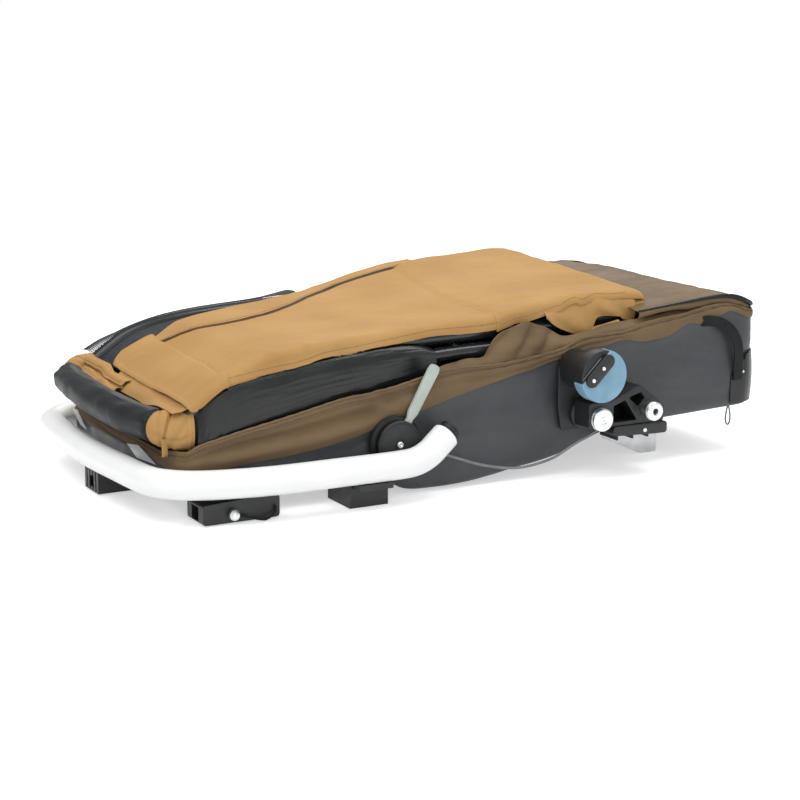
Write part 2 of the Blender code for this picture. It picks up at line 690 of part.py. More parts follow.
# The lanyard's route as it leaves the pin's head and returns to the receiver: back, outward and up from it
lanyard_steps = [(head + 0.0022, 0.008, -0.002), (0.024, 0.010, -0.006), (0.040, 0.011, -0.0110),
                 (0.052, 0.010, -0.0125), (0.064, 0.007, -0.008), (0.070, 0.004, -0.002),
                 (0.070, LANYARD / 2 + GAP, 0.005)]
lanyard_route = [(PIN_X + back, pin_head_y - outward, PIN_Z + rise) for back, outward, rise in lanyard_steps]
tube("pin_lanyard", smooth_path(lanyard_route, 3), LANYARD, WEBBING)
body("tow_pin_body", (PIN_X, pin_head_y, PIN_Z), [tow_pin])


# Brake levers in their housings, and their cables

def lever_outline():
    """Round hub, narrow neck and a wider flat grip with a round end."""
    along = Vector((cos(LEVER_ANGLE), sin(LEVER_ANGLE)))
    across = Vector((-along.y, along.x))
    centre = Vector((BRAKE_X, BRAKE_Z))
    hub = LEVER_HUB / 2
    right = [(hub * 0.92, -0.0068), (0.044, -0.0052), (0.054, -0.0085), (LEVER_REACH - 0.010, -0.0098),
             (LEVER_REACH - 0.002, -0.0065)]
    points = [centre + along * a + across * b for a, b in right]
    points += [centre + along * LEVER_REACH]
    points += [centre + along * a - across * b for a, b in reversed(right)]
    opening = radians(24)
    for step in range(1, 14):
        turn = LEVER_ANGLE + opening + (2 * pi - 2 * opening) * step / 14
        points.append(centre + Vector((cos(turn), sin(turn))) * hub)
    return [tuple(p) for p in points]


# The cable's route between the housing and the ledge: (x, distance from the tub's wall, height)
CABLE_ROUTE = [(-0.060, 0.0073, 0.066), (-0.020, 0.0135, 0.051), (0.020, 0.0202, 0.038),
               (0.077, 0.0243, 0.0285), (0.135, 0.0283, 0.037), (0.175, 0.0320, 0.057)]
CABLE_LEAN = radians(-14)
for side_name, side in SIDES:
    back = BRAKE_INNER + BRAKE_BACK_THICK
    cover = back + LEVER_THICK + 2 * GAP
    outer = cover + BRAKE_COVER_THICK
    edge = BRAKE_COVER / 2
    bolt = BRAKE_BOLT / 2
    bolt_head = [(0, outer + 0.005), (0.0045, outer + 0.005), (0.006, outer + 0.003), (0.006, outer)]
    rim = [(edge - 0.002, outer), (edge, outer - 0.002), (edge, cover), (bolt, cover), (bolt, back)]
    disc = [(BRAKE_BACK / 2, back), (BRAKE_BACK / 2, BRAKE_INNER), (0, BRAKE_INNER)]
    turned("brake_housing_" + side_name, bolt_head + rim + disc, (BRAKE_X, 0, BRAKE_Z), side,
           BLACK_PLASTIC, 24)
    bolt_hole = circle(BRAKE_X, BRAKE_Z, bolt + GAP, 12)
    lever = plate("brake_lever_" + side_name, [lever_outline(), bolt_hole], side, back + GAP, LEVER_THICK,
                  GREY_LEVER)
    body("lever_body_" + side_name, (BRAKE_X, side * (back + GAP), BRAKE_Z), [lever])

    start = BRAKE_BACK / 2 + GAP * 2
    first = (BRAKE_X + start * cos(CABLE_LEAN), BRAKE_INNER + CABLE, BRAKE_Z + start * sin(CABLE_LEAN))
    cable_y, cable_z = ARM_INNER + 0.0122, LEDGE_Z[0] + 0.009
    last = [(LEDGE_X[0] - 0.008, cable_y, cable_z), (LEDGE_X[0] - GAP, cable_y, cable_z)]
    free = [(x, tub_half(x) + away, z) for x, away, z in CABLE_ROUTE]
    route = [(x, side * y, z) for x, y, z in [first] + free + last]
    tube("brake_cable_" + side_name, smooth_path(route[:-1], 4) + [route[-1]], CABLE, BLACK_PLASTIC)


# Suspension

arm_bottom = LEDGE_Z[1] + GAP
arm_outline = rounded([(0.183, arm_bottom), (0.331, arm_bottom), (0.322, 0.122), (0.283, 0.153),
                       (0.272, 0.150), (0.228, 0.1325), (0.183, 0.1325)], 0.006)
front_window = rounded([(0.2305, 0.0960), (0.2765, 0.0960), (0.2530, 0.1310), (0.2305, 0.1235)], 0.002, 2)
rear_window = rounded([(0.2600, 0.1345), (0.2785, 0.1175), (0.2905, 0.1315), (0.2835, 0.1415)], 0.002, 1)
wall_outline = rounded([(0.166, 0.078), (BRACKET_REAR_X, 0.078), (BRACKET_REAR_X, 0.105), (0.300, 0.140),
                        (0.232, 0.190), (0.160, 0.190), (0.160, 0.120)], 0.010)
ledge_low, ledge_high = LEDGE_Z
ledge_front, ledge_rear = LEDGE_X
ledge_outline = rounded([(ledge_front, ledge_low + 0.004), (ledge_rear - 0.02, ledge_low),
                         (ledge_rear, ledge_low), (ledge_rear, ledge_high), (ledge_front, ledge_high)], 0.006)
ledge_hole = circle(HUB_X - 0.004, 0.0775, 0.0042, 10)
bracket_inner = tub_half(BRACKET_REAR_X) + GAP
arm_outer = ARM_INNER + ARM_THICK
pad_inner = arm_outer + 0.0022
pad_face = pad_inner + PAD_DEPTH


def bracket_for(side_name, side):
    """Wall plate, ledge under the arm, pivot boss and pad holder in one casting."""
    into_wall = bracket_inner + 0.001
    casting = plate("suspension_bracket_" + side_name, [wall_outline], side, bracket_inner, BRACKET_PLATE,
                    BLACK_PLASTIC)
    casting = join(casting, plate("ledge", [ledge_outline, ledge_hole], side, into_wall,
                                  LEDGE_OUTER - into_wall, BLACK_PLASTIC))
    boss_face, boss = ARM_INNER - GAP, BOSS / 2
    boss_profile = [(0, boss_face), (boss - 0.002, boss_face), (boss, boss_face - 0.0027), (boss, into_wall),
                    (0, into_wall)]
    casting = join(casting, turned("boss", boss_profile, (PIVOT_X, 0, PIVOT_Z), side, BLACK_PLASTIC, 20))
    holder_face, holder = pad_inner - GAP, PAD_HOLDER / 2
    holder_profile = [(0, holder_face), (holder, holder_face), (holder, into_wall), (0, into_wall)]
    join(casting, turned("holder", holder_profile, (PAD_X, 0, PAD_Z), side, BLACK_PLASTIC, 20))


def arm_for(side_name, side):
    """Swing arm with two windows, the pivot cap whose pin it turns on, and the wheel axle's sleeve."""
    pin = PIVOT_PIN / 2
    cap = PIVOT_CAP / 2
    flange = HUB_FLANGE / 2
    sleeve = HUB_SLEEVE / 2
    neck = sleeve + 0.003
    bore = AXLE_BORE / 2
    pivot_hole = circle(PIVOT_X, PIVOT_Z, pin + GAP * 2, 16)
    sleeve_hole = circle(HUB_X, HUB_Z, sleeve + GAP * 2, 18)
    openings = [pivot_hole, sleeve_hole, front_window, rear_window]
    arm = plate("swing_arm_" + side_name, [arm_outline] + openings, side, ARM_INNER, ARM_THICK, BLACK_PLASTIC)
    cap_profile = [(0, 0.0105), (0.004, 0.0105), (0.0045, 0.012), (cap - 0.002, 0.012), (cap, 0.010),
                   (cap, GAP), (pin, GAP), (pin, -ARM_THICK), (0, -ARM_THICK)]
    turned("pivot_cap_" + side_name, [(radius, arm_outer + height) for radius, height in cap_profile],
           (PIVOT_X, 0, PIVOT_Z), side, STEEL, 24)
    hub_profile = [(bore, 0.028), (flange - 0.003, 0.028), (flange, 0.025), (flange, 0.017), (neck, 0.016),
                   (neck, GAP), (sleeve, GAP), (sleeve, -ARM_THICK), (bore, -ARM_THICK)]
    hub = turned("hub_sleeve_" + side_name, [(radius, arm_outer + height) for radius, height in hub_profile],
                 (HUB_X, 0, HUB_Z), side, STEEL, 20)
    body("arm_body_" + side_name, (PIVOT_X, side * ARM_INNER, PIVOT_Z), [arm, hub])


# The blue pad is a disc with a slice off its upper front. The clamp fills the slice and crosses the face
pad_centre = Vector((PAD_X, PAD_Z))
lean = Vector((cos(CLAMP_ANGLE), sin(CLAMP_ANGLE)))
away = Vector((-lean.y, lean.x))
slice_angle = atan2(PAD_SLICE, sqrt((PAD_DIAMETER / 2) ** 2 - PAD_SLICE ** 2))


def pad_arc(first, sweep, radius, steps, shift=0.0):
    """An arc about the pad's centre; its angles start from the clamp's direction."""
    points = []
    for step in range(steps + 1):
        turn = CLAMP_ANGLE + first + sweep * step / steps
        points.append(tuple(pad_centre + away * shift + Vector((cos(turn), sin(turn))) * radius))
    return points


def pad_point(along, outward):
    return tuple(pad_centre + lean * along + away * outward)


def clamp_bar():
    """Outline of the strip with round ends that crosses the pad's face."""
    points = []
    half = CLAMP_WIDTH / 2
    reach = CLAMP_LENGTH / 2 - half
    for first, middle in ((-pi / 2, reach), (pi / 2, -reach)):
        for step in range(9):
            turn = first + pi * step / 8
            points.append(pad_point(middle + cos(turn) * half, CLAMP_SHIFT + sin(turn) * half))
    return points


def pad_for(side_name, side):
    disc = pad_arc(slice_angle, -(pi + 2 * slice_angle), PAD_DIAMETER / 2, 22)
    plate("pad_" + side_name, [disc], side, pad_inner, PAD_DEPTH, BLUE_RUBBER)
    inset = radians(2)
    lid = pad_arc(slice_angle + inset, pi - 2 * (slice_angle + inset), PAD_DIAMETER / 2 - 0.001, 12, GAP)
    clamp = plate("pad_clamp_" + side_name, [lid], side, pad_inner, PAD_DEPTH - 0.001, BLACK_PLASTIC)
    low, high, reach = PAD_SLICE + 0.001, PAD_SLICE + 0.0035, 0.020
    root = plate("root", [[pad_point(-reach, low), pad_point(reach, low), pad_point(reach, high),
                           pad_point(-reach, high)]], side, pad_face - 0.003, CLAMP_THICK, BLACK_PLASTIC)
    strip = plate("strip", [clamp_bar()], side, pad_face + GAP, CLAMP_THICK, BLACK_PLASTIC)
    join(join(clamp, root), strip)


for side_name, side in SIDES:
    bracket_for(side_name, side)
    arm_for(side_name, side)
    pad_for(side_name, side)
    front, rear = FOOT_X
    foot = [(front, 0.036), (rear - 0.032, 0.0), (rear, 0.0), (rear, tub_bottom(rear) - GAP),
            (front, tub_bottom(front) - GAP)]
    plate("foot_plate_" + side_name, [foot], side, FOOT_Y, FOOT_THICK, BARE_ALUMINIUM)


# Roof frame: a U of tube with a bar across its rear

def frame_side(side):
    route = [(x, side * FRAME_HALF, z) for x, z in FRAME_LINE]
    route += [(x, side * (FRAME_HALF - inward), z) for (x, z), inward in zip(NOSE_LINE, (0.001, 0.012))]
    route += [(-0.500, side * (FRAME_HALF - 0.031), 0.1385), (-0.513, side * 0.115, 0.139)]
    return route


FRONT_BAR_MIDDLE = (-0.522, 0.0, 0.143)
frame_route = frame_side(-1) + [FRONT_BAR_MIDDLE] + list(reversed(frame_side(1)))
frame_path = smooth_path(frame_route, 2)
roof_frame = tube("roof_frame", frame_path, FRAME_TUBE, BLACK_FRAME)
upper = [roof_frame]
bar_z = linear(FRAME_LINE, REAR_BAR_X)
bar_reach = FRAME_HALF - FRAME_TUBE / 2 - GAP
bar_ends = [(REAR_BAR_X, -bar_reach, bar_z), (REAR_BAR_X, bar_reach, bar_z)]
upper.append(tube("rear_bar", bar_ends, FRAME_TUBE, BLACK_FRAME))


def covered(name, reach, diameter, look):
    """A padded cover over the frame's tube. It reaches this many of the path's points from the nose."""
    middle = len(frame_path) // 2
    path = frame_path[middle - reach:middle + reach + 1]
    core_path = frame_path[middle - reach - 1:middle + reach + 2]
    # The faceted bore clears the faceted tube at its corners too
    core = FRAME_TUBE / cos(pi / 8) + 2 * GAP
    return cut(tube(name, path, diameter, look), tube("core", core_path, core, look))


def trim(piece, side, low_x, high_x, low_y, high_y):
    """Cuts a box off the piece: its y limits are given for the far side."""
    return cut(piece, side_box("trim", side, (low_x, low_y, 0.0), (high_x, high_y, BEYOND), BLACK_PLASTIC))


roll = covered("front_roll", 7, ROLL_DIAMETER, COATED_FABRIC)
for _, side in SIDES:
    roll = trim(roll, side, -BEYOND, 0.0, ROLL_HALF, BEYOND)
upper.append(roll)
for side_name, side in SIDES:
    cuff = covered("corner_cuff_" + side_name, 11, CUFF_DIAMETER, GOLD_CANVAS)
    cuff = trim(cuff, side, -BEYOND, 0.0, -BEYOND, ROLL_HALF + GAP)
    upper.append(trim(cuff, side, CUFF_REAR_X, 0.001, 0.001, BEYOND))


# Side tubes in their padded panels, pinned to the brackets at the front corners

def hinge_bore(side):
    reach = 0.05
    return turned("bore", [(0, SIDE_TUBE_HALF + reach), (HINGE_PIN / 2 + GAP, SIDE_TUBE_HALF + reach),
                           (HINGE_PIN / 2 + GAP, SIDE_TUBE_HALF - reach), (0, SIDE_TUBE_HALF - reach)],
                  (HINGE_X, 0, HINGE_Z), side, STEEL, 12)


plate_outer = SIDE_TUBE_HALF - SLEEVE_DIAMETER / 2 - GAP


def side_panel_for(side_name, side, path):
    """The sleeve round the side tube, with a skirt that hangs from it behind the hem."""
    sleeve_path = [point for point in path if point.x < SLEEVE_REAR_X]
    panel = tube("side_panel_" + side_name, sleeve_path[:-1], SLEEVE_DIAMETER, COATED_FABRIC)
    hung = [(point.x, point.z) for point in sleeve_path[:-3]]
    low = [(x, linear(HEM_LINE, x) - SKIRT_DEPTH) for x, _ in reversed(hung)]
    skirt_inner = SIDE_TUBE_HALF + SLEEVE_DIAMETER / 2 - SKIRT_THICK - 0.0008
    panel = join(panel, plate("skirt", [hung + low], side, skirt_inner, SKIRT_THICK, COATED_FABRIC))
    core = tube("core", path + [2 * path[-1] - path[-2]], SIDE_TUBE + 2 * GAP, COATED_FABRIC)
    return cut(cut(panel, core), hinge_bore(side))


def hinge_bracket_for(side_name, side):
    """A plate that stands on the rail, with the pin that the side tube turns on."""
    front, rear = HINGE_X - 0.016, HINGE_X + 0.020
    top = HINGE_Z + 0.012
    outline = rounded([(front, 0.066), (rear, 0.066), (rear - 0.006, top), (front + 0.004, top)], 0.008)
    upright = plate("hinge_bracket_" + side_name, [outline], side, plate_outer - HINGE_PLATE, HINGE_PLATE,
                    BLACK_FRAME)
    foot_low = tub_bottom(rear) + TUB_WALL + 3 * GAP + RAIL_HEIGHT
    foot = side_box("foot", side, (front, plate_outer - 0.022, foot_low),
                    (rear, plate_outer - 0.001, foot_low + 0.005), BLACK_FRAME)
    pin_out = SIDE_TUBE_HALF + SIDE_TUBE / 2 + SLEEVE_WALL + 0.0004
    pin = turned("pin", [(0, pin_out), (HINGE_PIN / 2, pin_out), (HINGE_PIN / 2, plate_outer - 0.002),
                         (0, plate_outer - 0.002)], (HINGE_X, 0, HINGE_Z), side, STEEL, 12)
    join(join(upright, foot), pin)


for side_name, side in SIDES:
    route = [Vector((x, side * SIDE_TUBE_HALF, z)) for x, z in SIDE_TUBE_LINE]
    drop = route[-1] + (route[-1] - route[-2]).normalized() * 0.012
    path = smooth_path(route + [drop], 2)
    upper.append(cut(tube("side_tube_" + side_name, path, SIDE_TUBE, BLACK_FRAME), hinge_bore(side)))
    upper.append(side_panel_for(side_name, side, path))
    hinge_bracket_for(side_name, side)


# Rear hoop

hoop_z = linear(FRAME_LINE, HOOP_PIVOT_X)
stub = FRAME_HALF - FRAME_TUBE / 2 - GAP


def hoop_height(x):
    return hoop_z - HOOP_TIP_DROP * (HOOP_PIVOT_X - x) / HOOP_LENGTH


def hoop_side(side):
    """One leg, from its stub at the roof frame to the middle of the cross part's corner."""
    plan = [(0.0, stub), (0.0, stub - 0.006), (0.004, HOOP_HALF + 0.004), (0.016, HOOP_HALF)]
    straight = HOOP_LENGTH - HOOP_CORNER - 0.016
    plan += [(HOOP_LENGTH - HOOP_CORNER - straight * share, HOOP_HALF) for share in (0.66, 0.33, 0.0)]
    for step in (1, 2, 3):
        turn = radians(30 * step)
        plan.append((HOOP_LENGTH - HOOP_CORNER * (1 - sin(turn)), HOOP_HALF - HOOP_CORNER * (1 - cos(turn))))
    return [(HOOP_PIVOT_X - forward, side * y, hoop_height(HOOP_PIVOT_X - forward)) for forward, y in plan]


near_leg = hoop_side(-1)
far_leg = hoop_side(1)
hoop = tube("rear_hoop", near_leg + list(reversed(far_leg)), HOOP_TUBE, BLACK_FRAME)


# Cloth on the roof frame

def across(x, y, near, far):
    """A value that runs from the near edge's line to the far edge's."""
    share = (y - CLOTH_NEAR_Y) / (CLOTH_FAR_REAR_Y - CLOTH_NEAR_Y)
    return linear(near, x) * (1 - share) + linear(far, x) * share


def cloth_plan(u, v):
    far_share = min(max((u - 0.54) / 0.22, 0.0), 1.0)
    far = CLOTH_FAR_FRONT_Y + (CLOTH_FAR_REAR_Y - CLOTH_FAR_FRONT_Y) * far_share
    y = CLOTH_NEAR_Y + (far - CLOTH_NEAR_Y) * v
    front = CLOTH_FRONT_X + 0.03 * v
    return front + (CLOTH_REAR_X - front) * u ** 1.5, y


def cloth_wave(x, y):
    """Long shallow folds that run along the cloth and a soft roll across its rear."""
    along = 0.0011 * sin(y * 46 + x * 9) * min(1.0, max(0.0, (x + 0.30) / 0.2))
    rear = 0.0035 * max(0.0, 1 - abs(x - 0.335) / 0.045) * (0.6 + 0.4 * sin(y * 30))
    return along + rear


def cloth_top(x, y):
    return frame_top(x) + across(x, y, PILE_NEAR, PILE_FAR) + cloth_wave(x, y)


def cloth_bottom(x, y):
    return frame_top(x)


upper.append(sheet_solid("roof_cloth", cloth_plan, cloth_top, cloth_bottom, 26, 10, GOLD_CANVAS))


def flap_plan(u, v):
    y = CLOTH_NEAR_Y - 0.001 + (FLAP_FAR_Y - CLOTH_NEAR_Y) * v
    front = FLAP_FRONT_X + 0.032 * v
    rear = FLAP_REAR_X + 0.040 * v
    corner = 0.018 * (max(0.0, 1 - v / 0.08) ** 2 + max(0.0, (v - 0.92) / 0.08) ** 2)
    front += corner
    return front + (rear - front) * u, y


def flap_bottom(x, y):
    return cloth_top(x, y) + FLAP_SEAT


def flap_top(x, y):
    ripple = 0.0012 * sin(y * 38)
    return flap_bottom(x, y) + FLAP_THICK + ripple


upper.append(sheet_solid("roof_flap", flap_plan, flap_top, flap_bottom, 8, 12, GOLD_CANVAS))


def top_panel_plan(u, v):
    x = CLOTH_REAR_X + 0.002 + (TUB_REAR_X - CLOTH_REAR_X - 0.002) * u
    corner = 0.022 * max(0.0, (u - 0.85) / 0.15) ** 2
    half = tub_half(x) - 0.006 - corner
    return x, half * (2 * v - 1)


def top_panel_top(x, y):
    edge = min(1.0, (tub_half(x) - abs(y)) / 0.06) * min(1.0, (TUB_REAR_X - x) / 0.07)
    return TOP_PANEL_BOTTOM_Z + TOP_PANEL_THICK + TOP_PANEL_CROWN * sin(edge * pi / 2)


upper.append(sheet_solid("rear_top_panel", top_panel_plan, top_panel_top, lambda x, y: TOP_PANEL_BOTTOM_Z,
                         8, 12, OLIVE_FABRIC))


def mesh_plan(u, v):
    half = FRAME_HALF - FRAME_TUBE / 2 - 2 * GAP
    return -0.425 + (MESH_REAR_X + 0.425) * u, half * (2 * v - 1)


upper.append(sheet_solid("front_mesh", mesh_plan, lambda x, y: linear(FRAME_LINE, x) + MESH_THICK / 2,
                         lambda x, y: linear(FRAME_LINE, x) - MESH_THICK / 2, 12, 6, BLACK_MESH))


# Side and rear walls of soft fabric, folded between the tub and the roof frame

for side_name, side in SIDES:
    stations = 34
    rings = []
    first_x, last_x = HEAP_LINE[0][0], HEAP_LINE[-1][0]
    for step in range(stations + 1):
        x = first_x + (last_x - first_x) * step / stations
        low = linear(HEM_LINE, x) + 2 * GAP
        high = max(linear(HEAP_LINE, x), low + 0.004)
        outer = tub_half(x) - 0.001
        fold = 0.0035 * sin(x * 95 + 0.8) * min(1.0, (high - low) / 0.02)
        rise = high - low
        ring = [(HEAP_INNER, low), (outer - 0.002, low), (outer + fold * 0.6, low + rise * 0.30),
                (outer - 0.003 + fold, low + rise * 0.60), (outer - 0.007 + fold * 0.5, low + rise * 0.88),
                (outer - 0.012, high), (HEAP_INNER + 0.001, high - rise * 0.05)]
        rings.append([(x, side * y, z) for y, z in ring])
    ring_solid("side_fabric_" + side_name, rings, OLIVE_FABRIC)

rear_rings = []
fabric_top = TOP_PANEL_BOTTOM_Z - GAP
outer, inner = TUB_REAR_X - TUB_WALL - 2 * GAP, TUB_REAR_X - 0.020
for step in range(13):
    y = REAR_FABRIC_HALF * (step / 6 - 1)
    ripple = 0.003 * sin(y * 60)
    rear_rings.append([(inner + 0.002 + ripple, y, REAR_FABRIC_LOW_Z), (outer, y, REAR_FABRIC_LOW_Z + 0.010),
                       (outer, y, fabric_top),
                       (inner + 0.002, y, fabric_top), (inner + ripple, y, 0.215)])
ring_solid("rear_fabric", rear_rings, OLIVE_FABRIC)

upper_body = body("upper_frame_body", (HINGE_X, 0, HINGE_Z), upper)
body("hoop_body", (HOOP_PIVOT_X, 0, hoop_z), [hoop]).parent = upper_body
bpy.data.objects["hoop_body"].matrix_parent_inverse = Matrix.Translation((HINGE_X, 0, HINGE_Z)).inverted()


# Grab strap on the near rear corner, the zip loop and the two reflective patches

strap_line = [(0.452, 0.236), (0.475, 0.231), (0.497, 0.216), (0.511, 0.194), (0.516, 0.168), (0.514, 0.140),
              (0.508, 0.112)]
strap_path = [Vector((p.x, p.z)) for p in smooth_path([(x, 0, z) for x, z in strap_line], 2)]
edges = {1: [], -1: []}
for index, point in enumerate(strap_path):
    before, after = strap_path[max(index - 1, 0)], strap_path[min(index + 1, len(strap_path) - 1)]
    run = (after - before).normalized()
    for edge_side in (1, -1):
        edges[edge_side].append(tuple(point + Vector((-run.y, run.x)) * edge_side * STRAP_WIDTH / 2))
plate("grab_strap", [edges[1] + edges[-1][::-1]], -1, tub_half(0.525) + GAP, 0.003, WEBBING)

loop_y = LOOP_IN_FROM_SIDE - tub_half(LOOP_X)
loop_top = tub_bottom(LOOP_X) - LOOP_WIRE / 2 - 2 * GAP
loop_points = []
for step in range(16):
    turn = 2 * pi * step / 16
    half_width = 0.0045 * (1 - 0.45 * cos(turn))
    drop = LOOP_HEIGHT / 2 * (1 - cos(turn))
    loop_points.append((LOOP_X + half_width * sin(turn), loop_y, loop_top - drop))
zip_pull = tube("zip_pull", loop_points, LOOP_WIRE, WIRE, resolution=1, cyclic=True)
body("zip_pull_body", (LOOP_X, loop_y, loop_top), [zip_pull])

for side_name, (near_y, far_y) in REFLECTORS.items():
    face_x = TUB_FRONT_X - GAP
    box("reflector_" + side_name, (face_x - 0.002, near_y, 0.050), (face_x, far_y, 0.068), REFLECTIVE, 0.0006)
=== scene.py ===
from math import atan2, cos, exp, pi, radians, sin, sqrt, tan

import bmesh
import bpy
from mathutils import Matrix, Vector, noise


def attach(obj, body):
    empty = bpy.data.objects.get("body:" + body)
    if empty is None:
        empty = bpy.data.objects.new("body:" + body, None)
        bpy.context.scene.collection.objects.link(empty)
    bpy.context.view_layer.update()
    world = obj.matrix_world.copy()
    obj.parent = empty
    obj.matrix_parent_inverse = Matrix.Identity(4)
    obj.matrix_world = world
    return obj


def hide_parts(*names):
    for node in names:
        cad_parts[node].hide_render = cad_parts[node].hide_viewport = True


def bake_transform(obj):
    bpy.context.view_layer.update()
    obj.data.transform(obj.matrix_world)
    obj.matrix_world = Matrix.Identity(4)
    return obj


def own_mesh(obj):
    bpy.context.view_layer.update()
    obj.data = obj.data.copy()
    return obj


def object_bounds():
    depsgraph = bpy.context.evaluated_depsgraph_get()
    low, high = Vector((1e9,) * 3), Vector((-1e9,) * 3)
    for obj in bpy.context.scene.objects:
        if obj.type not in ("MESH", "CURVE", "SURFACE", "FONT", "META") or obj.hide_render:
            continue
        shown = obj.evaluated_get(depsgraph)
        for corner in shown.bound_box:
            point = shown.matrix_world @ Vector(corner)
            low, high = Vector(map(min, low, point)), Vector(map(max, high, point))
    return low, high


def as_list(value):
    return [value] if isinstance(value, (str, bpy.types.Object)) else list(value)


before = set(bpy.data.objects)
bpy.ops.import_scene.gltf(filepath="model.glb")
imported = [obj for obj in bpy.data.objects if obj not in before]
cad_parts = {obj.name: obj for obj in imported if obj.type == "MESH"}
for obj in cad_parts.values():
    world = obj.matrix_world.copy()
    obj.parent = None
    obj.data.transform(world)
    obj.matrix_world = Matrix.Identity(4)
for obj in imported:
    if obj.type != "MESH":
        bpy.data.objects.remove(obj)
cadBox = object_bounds()
print("frame loaded with", len(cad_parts), "pieces")

mm = 0.001


def link(made):
    bpy.context.scene.collection.objects.link(made)
    return made


# Camera, light and floor

view = {"place": (-1.646, -3.07, 0.844), "heading": 28.45, "tilt": 12.15, "lens": 93.7, "sensor": 36.0}
# Name, place, aim, size and watts of each lamp: a large soft key above the front, a fill from the near side,
# a back light, and one over the rear that draws the highlight along the padded edges
lamps = [
    ("keyLamp", (-1.3, -0.6, 2.6), (0.0, 0.0, 0.1), 2.2, 34.0),
    ("fillLamp", (-0.6, -3.2, 1.1), (0.0, 0.0, 0.1), 2.4, 14.0),
    ("backLamp", (1.2, 2.2, 1.8), (0.1, 0.0, 0.1), 1.8, 20.0),
    ("ridgeLamp", (1.0, -0.75, 2.6), (-0.1, -0.2, 0.2), 1.0, 18.0),
]
worldStrength = 0.66


def addCamera():
    data = bpy.data.cameras.new("photoCamera")
    data.lens = view["lens"]
    data.sensor_width = view["sensor"]
    data.clip_end = 50
    camera = bpy.data.objects.new("photoCamera", data)
    camera.location = view["place"]
    camera.rotation_euler = (radians(90 - view["tilt"]), 0, -radians(view["heading"]))
    link(camera)
    bpy.context.scene.camera = camera


def addLamps():
    for name, place, aim, size, watts in lamps:
        data = bpy.data.lights.new(name, "AREA")
        data.size = size
        data.energy = watts
        lamp = bpy.data.objects.new(name, data)
        lamp.location = place
        lamp.rotation_euler = (Vector(aim) - Vector(place)).to_track_quat("-Z", "Y").to_euler()
        link(lamp)


# Materials: one function adds a node, one turns a hex colour to linear, one starts a material

def linearColour(hexText):
    values = [int(hexText[i:i + 2], 16) / 255 for i in (1, 3, 5)]
    return tuple(v / 12.92 if v <= 0.04045 else ((v + 0.055) / 1.055) ** 2.4 for v in values) + (1.0,)


def plug(tree, node, inputs):
    # links an input to the socket that is given for it, or else sets it to the value
    for key, value in inputs.items():
        if isinstance(value, bpy.types.NodeSocket):
            tree.links.new(value, node.inputs[key])
        else:
            node.inputs[key].default_value = value
    return node


def addNode(tree, kind, inputs, **settings):
    node = tree.nodes.new(kind)
    for key, value in settings.items():
        setattr(node, key, value)
    return plug(tree, node, inputs)


def startMaterial(name, sockets):
    made = bpy.data.materials.new(name)
    made.use_nodes = True
    tree = made.node_tree
    return made, tree, plug(tree, tree.nodes["Principled BSDF"], sockets)


def patches(tree, size, low, high, detail=2.0):
    # soft uneven patches of that size in metres, from low to high
    place = addNode(tree, "ShaderNodeTexCoord", {})
    spots = addNode(tree, "ShaderNodeTexNoise", {"Vector": place.outputs["Object"], "Scale": 1 / size,
                                                 "Detail": detail})
    return addNode(tree, "ShaderNodeMapRange", {"Value": spots.outputs[0], "From Min": 0.3, "From Max": 0.7,
                                                "To Min": low, "To Max": high}).outputs[0]


def mixedColour(tree, share, first, second):
    made = addNode(tree, "ShaderNodeMix", {0: share, 6: first, 7: second}, data_type="RGBA")
    return made.outputs[2]


def weaveHeight(tree, threads):
    # warp along X and weft over Y + Z, so that tops and walls both show it; threads is the period in metres
    place = addNode(tree, "ShaderNodeTexCoord", {})
    split = addNode(tree, "ShaderNodeSeparateXYZ", {0: place.outputs["Object"]})
    rise = addNode(tree, "ShaderNodeMath", {0: split.outputs["Y"], 1: split.outputs["Z"]}, operation="ADD")
    flat = addNode(tree, "ShaderNodeCombineXYZ", {"X": split.outputs["X"], "Y": rise.outputs[0]})
    waves = []
    for direction in ("X", "Y"):
        waves.append(addNode(tree, "ShaderNodeTexWave",
                             {"Vector": flat.outputs[0], "Scale": 2 * pi / (20 * threads),
                              "Distortion": 0.4, "Detail": 1.0}, bands_direction=direction).outputs[1])
    return addNode(tree, "ShaderNodeMath", {0: waves[0], 1: waves[1]}, operation="MULTIPLY").outputs[0]


def bumpOver(tree, shader, heights):
    # lays each (height, depth in metres, strength) over the one before it
    normal = None
    for height, depth, strength in heights:
        sockets = {"Height": height, "Distance": depth, "Strength": strength}
        if normal:
            sockets["Normal"] = normal
        normal = addNode(tree, "ShaderNodeBump", sockets).outputs[0]
    plug(tree, shader, {"Normal": normal})


def clothMaterial(name, look):
    sockets = {"Roughness": look["roughness"], "Specular IOR Level": look["specular"]}
    if look["sheen"]:
        sockets.update({"Sheen Weight": look["sheen"], "Sheen Roughness": 0.5,
                        "Sheen Tint": linearColour(look["pale"])})
    made, tree, shader = startMaterial(name, sockets)
    weave = weaveHeight(tree, look["threads"] * mm)
    tone = mixedColour(tree, patches(tree, look["patch"] * mm, 0.0, 1.0, 4.0), linearColour(look["deep"]),
                       linearColour(look["pale"]))
    # the weave's hollows are darkened towards a deeper colour: painted shade between the threads
    hollows = addNode(tree, "ShaderNodeMapRange", {"Value": weave, "To Min": look["hollow"], "To Max": 0.0})
    colour = mixedColour(tree, hollows.outputs[0], tone, linearColour(look["hollowShade"]))
    gloss = patches(tree, 60 * mm, look["roughness"] - 0.05, look["roughness"] + 0.07)
    plug(tree, shader, {"Base Color": colour, "Roughness": gloss})
    crease = patches(tree, look["crease"] * mm, 0.0, 1.0, 5.0)
    bumpOver(tree, shader, [(crease, look["creaseDepth"] * mm, 0.6), (weave, 0.25 * mm, look["relief"])])
    return made


# The darker colour that each cloth look lays into its weave's hollows is painted shade between the threads.
clothLook = {"hollow": 0.3, "sheen": 0.0, "threads": 1.2, "patch": 120, "crease": 26, "relief": 0.12}
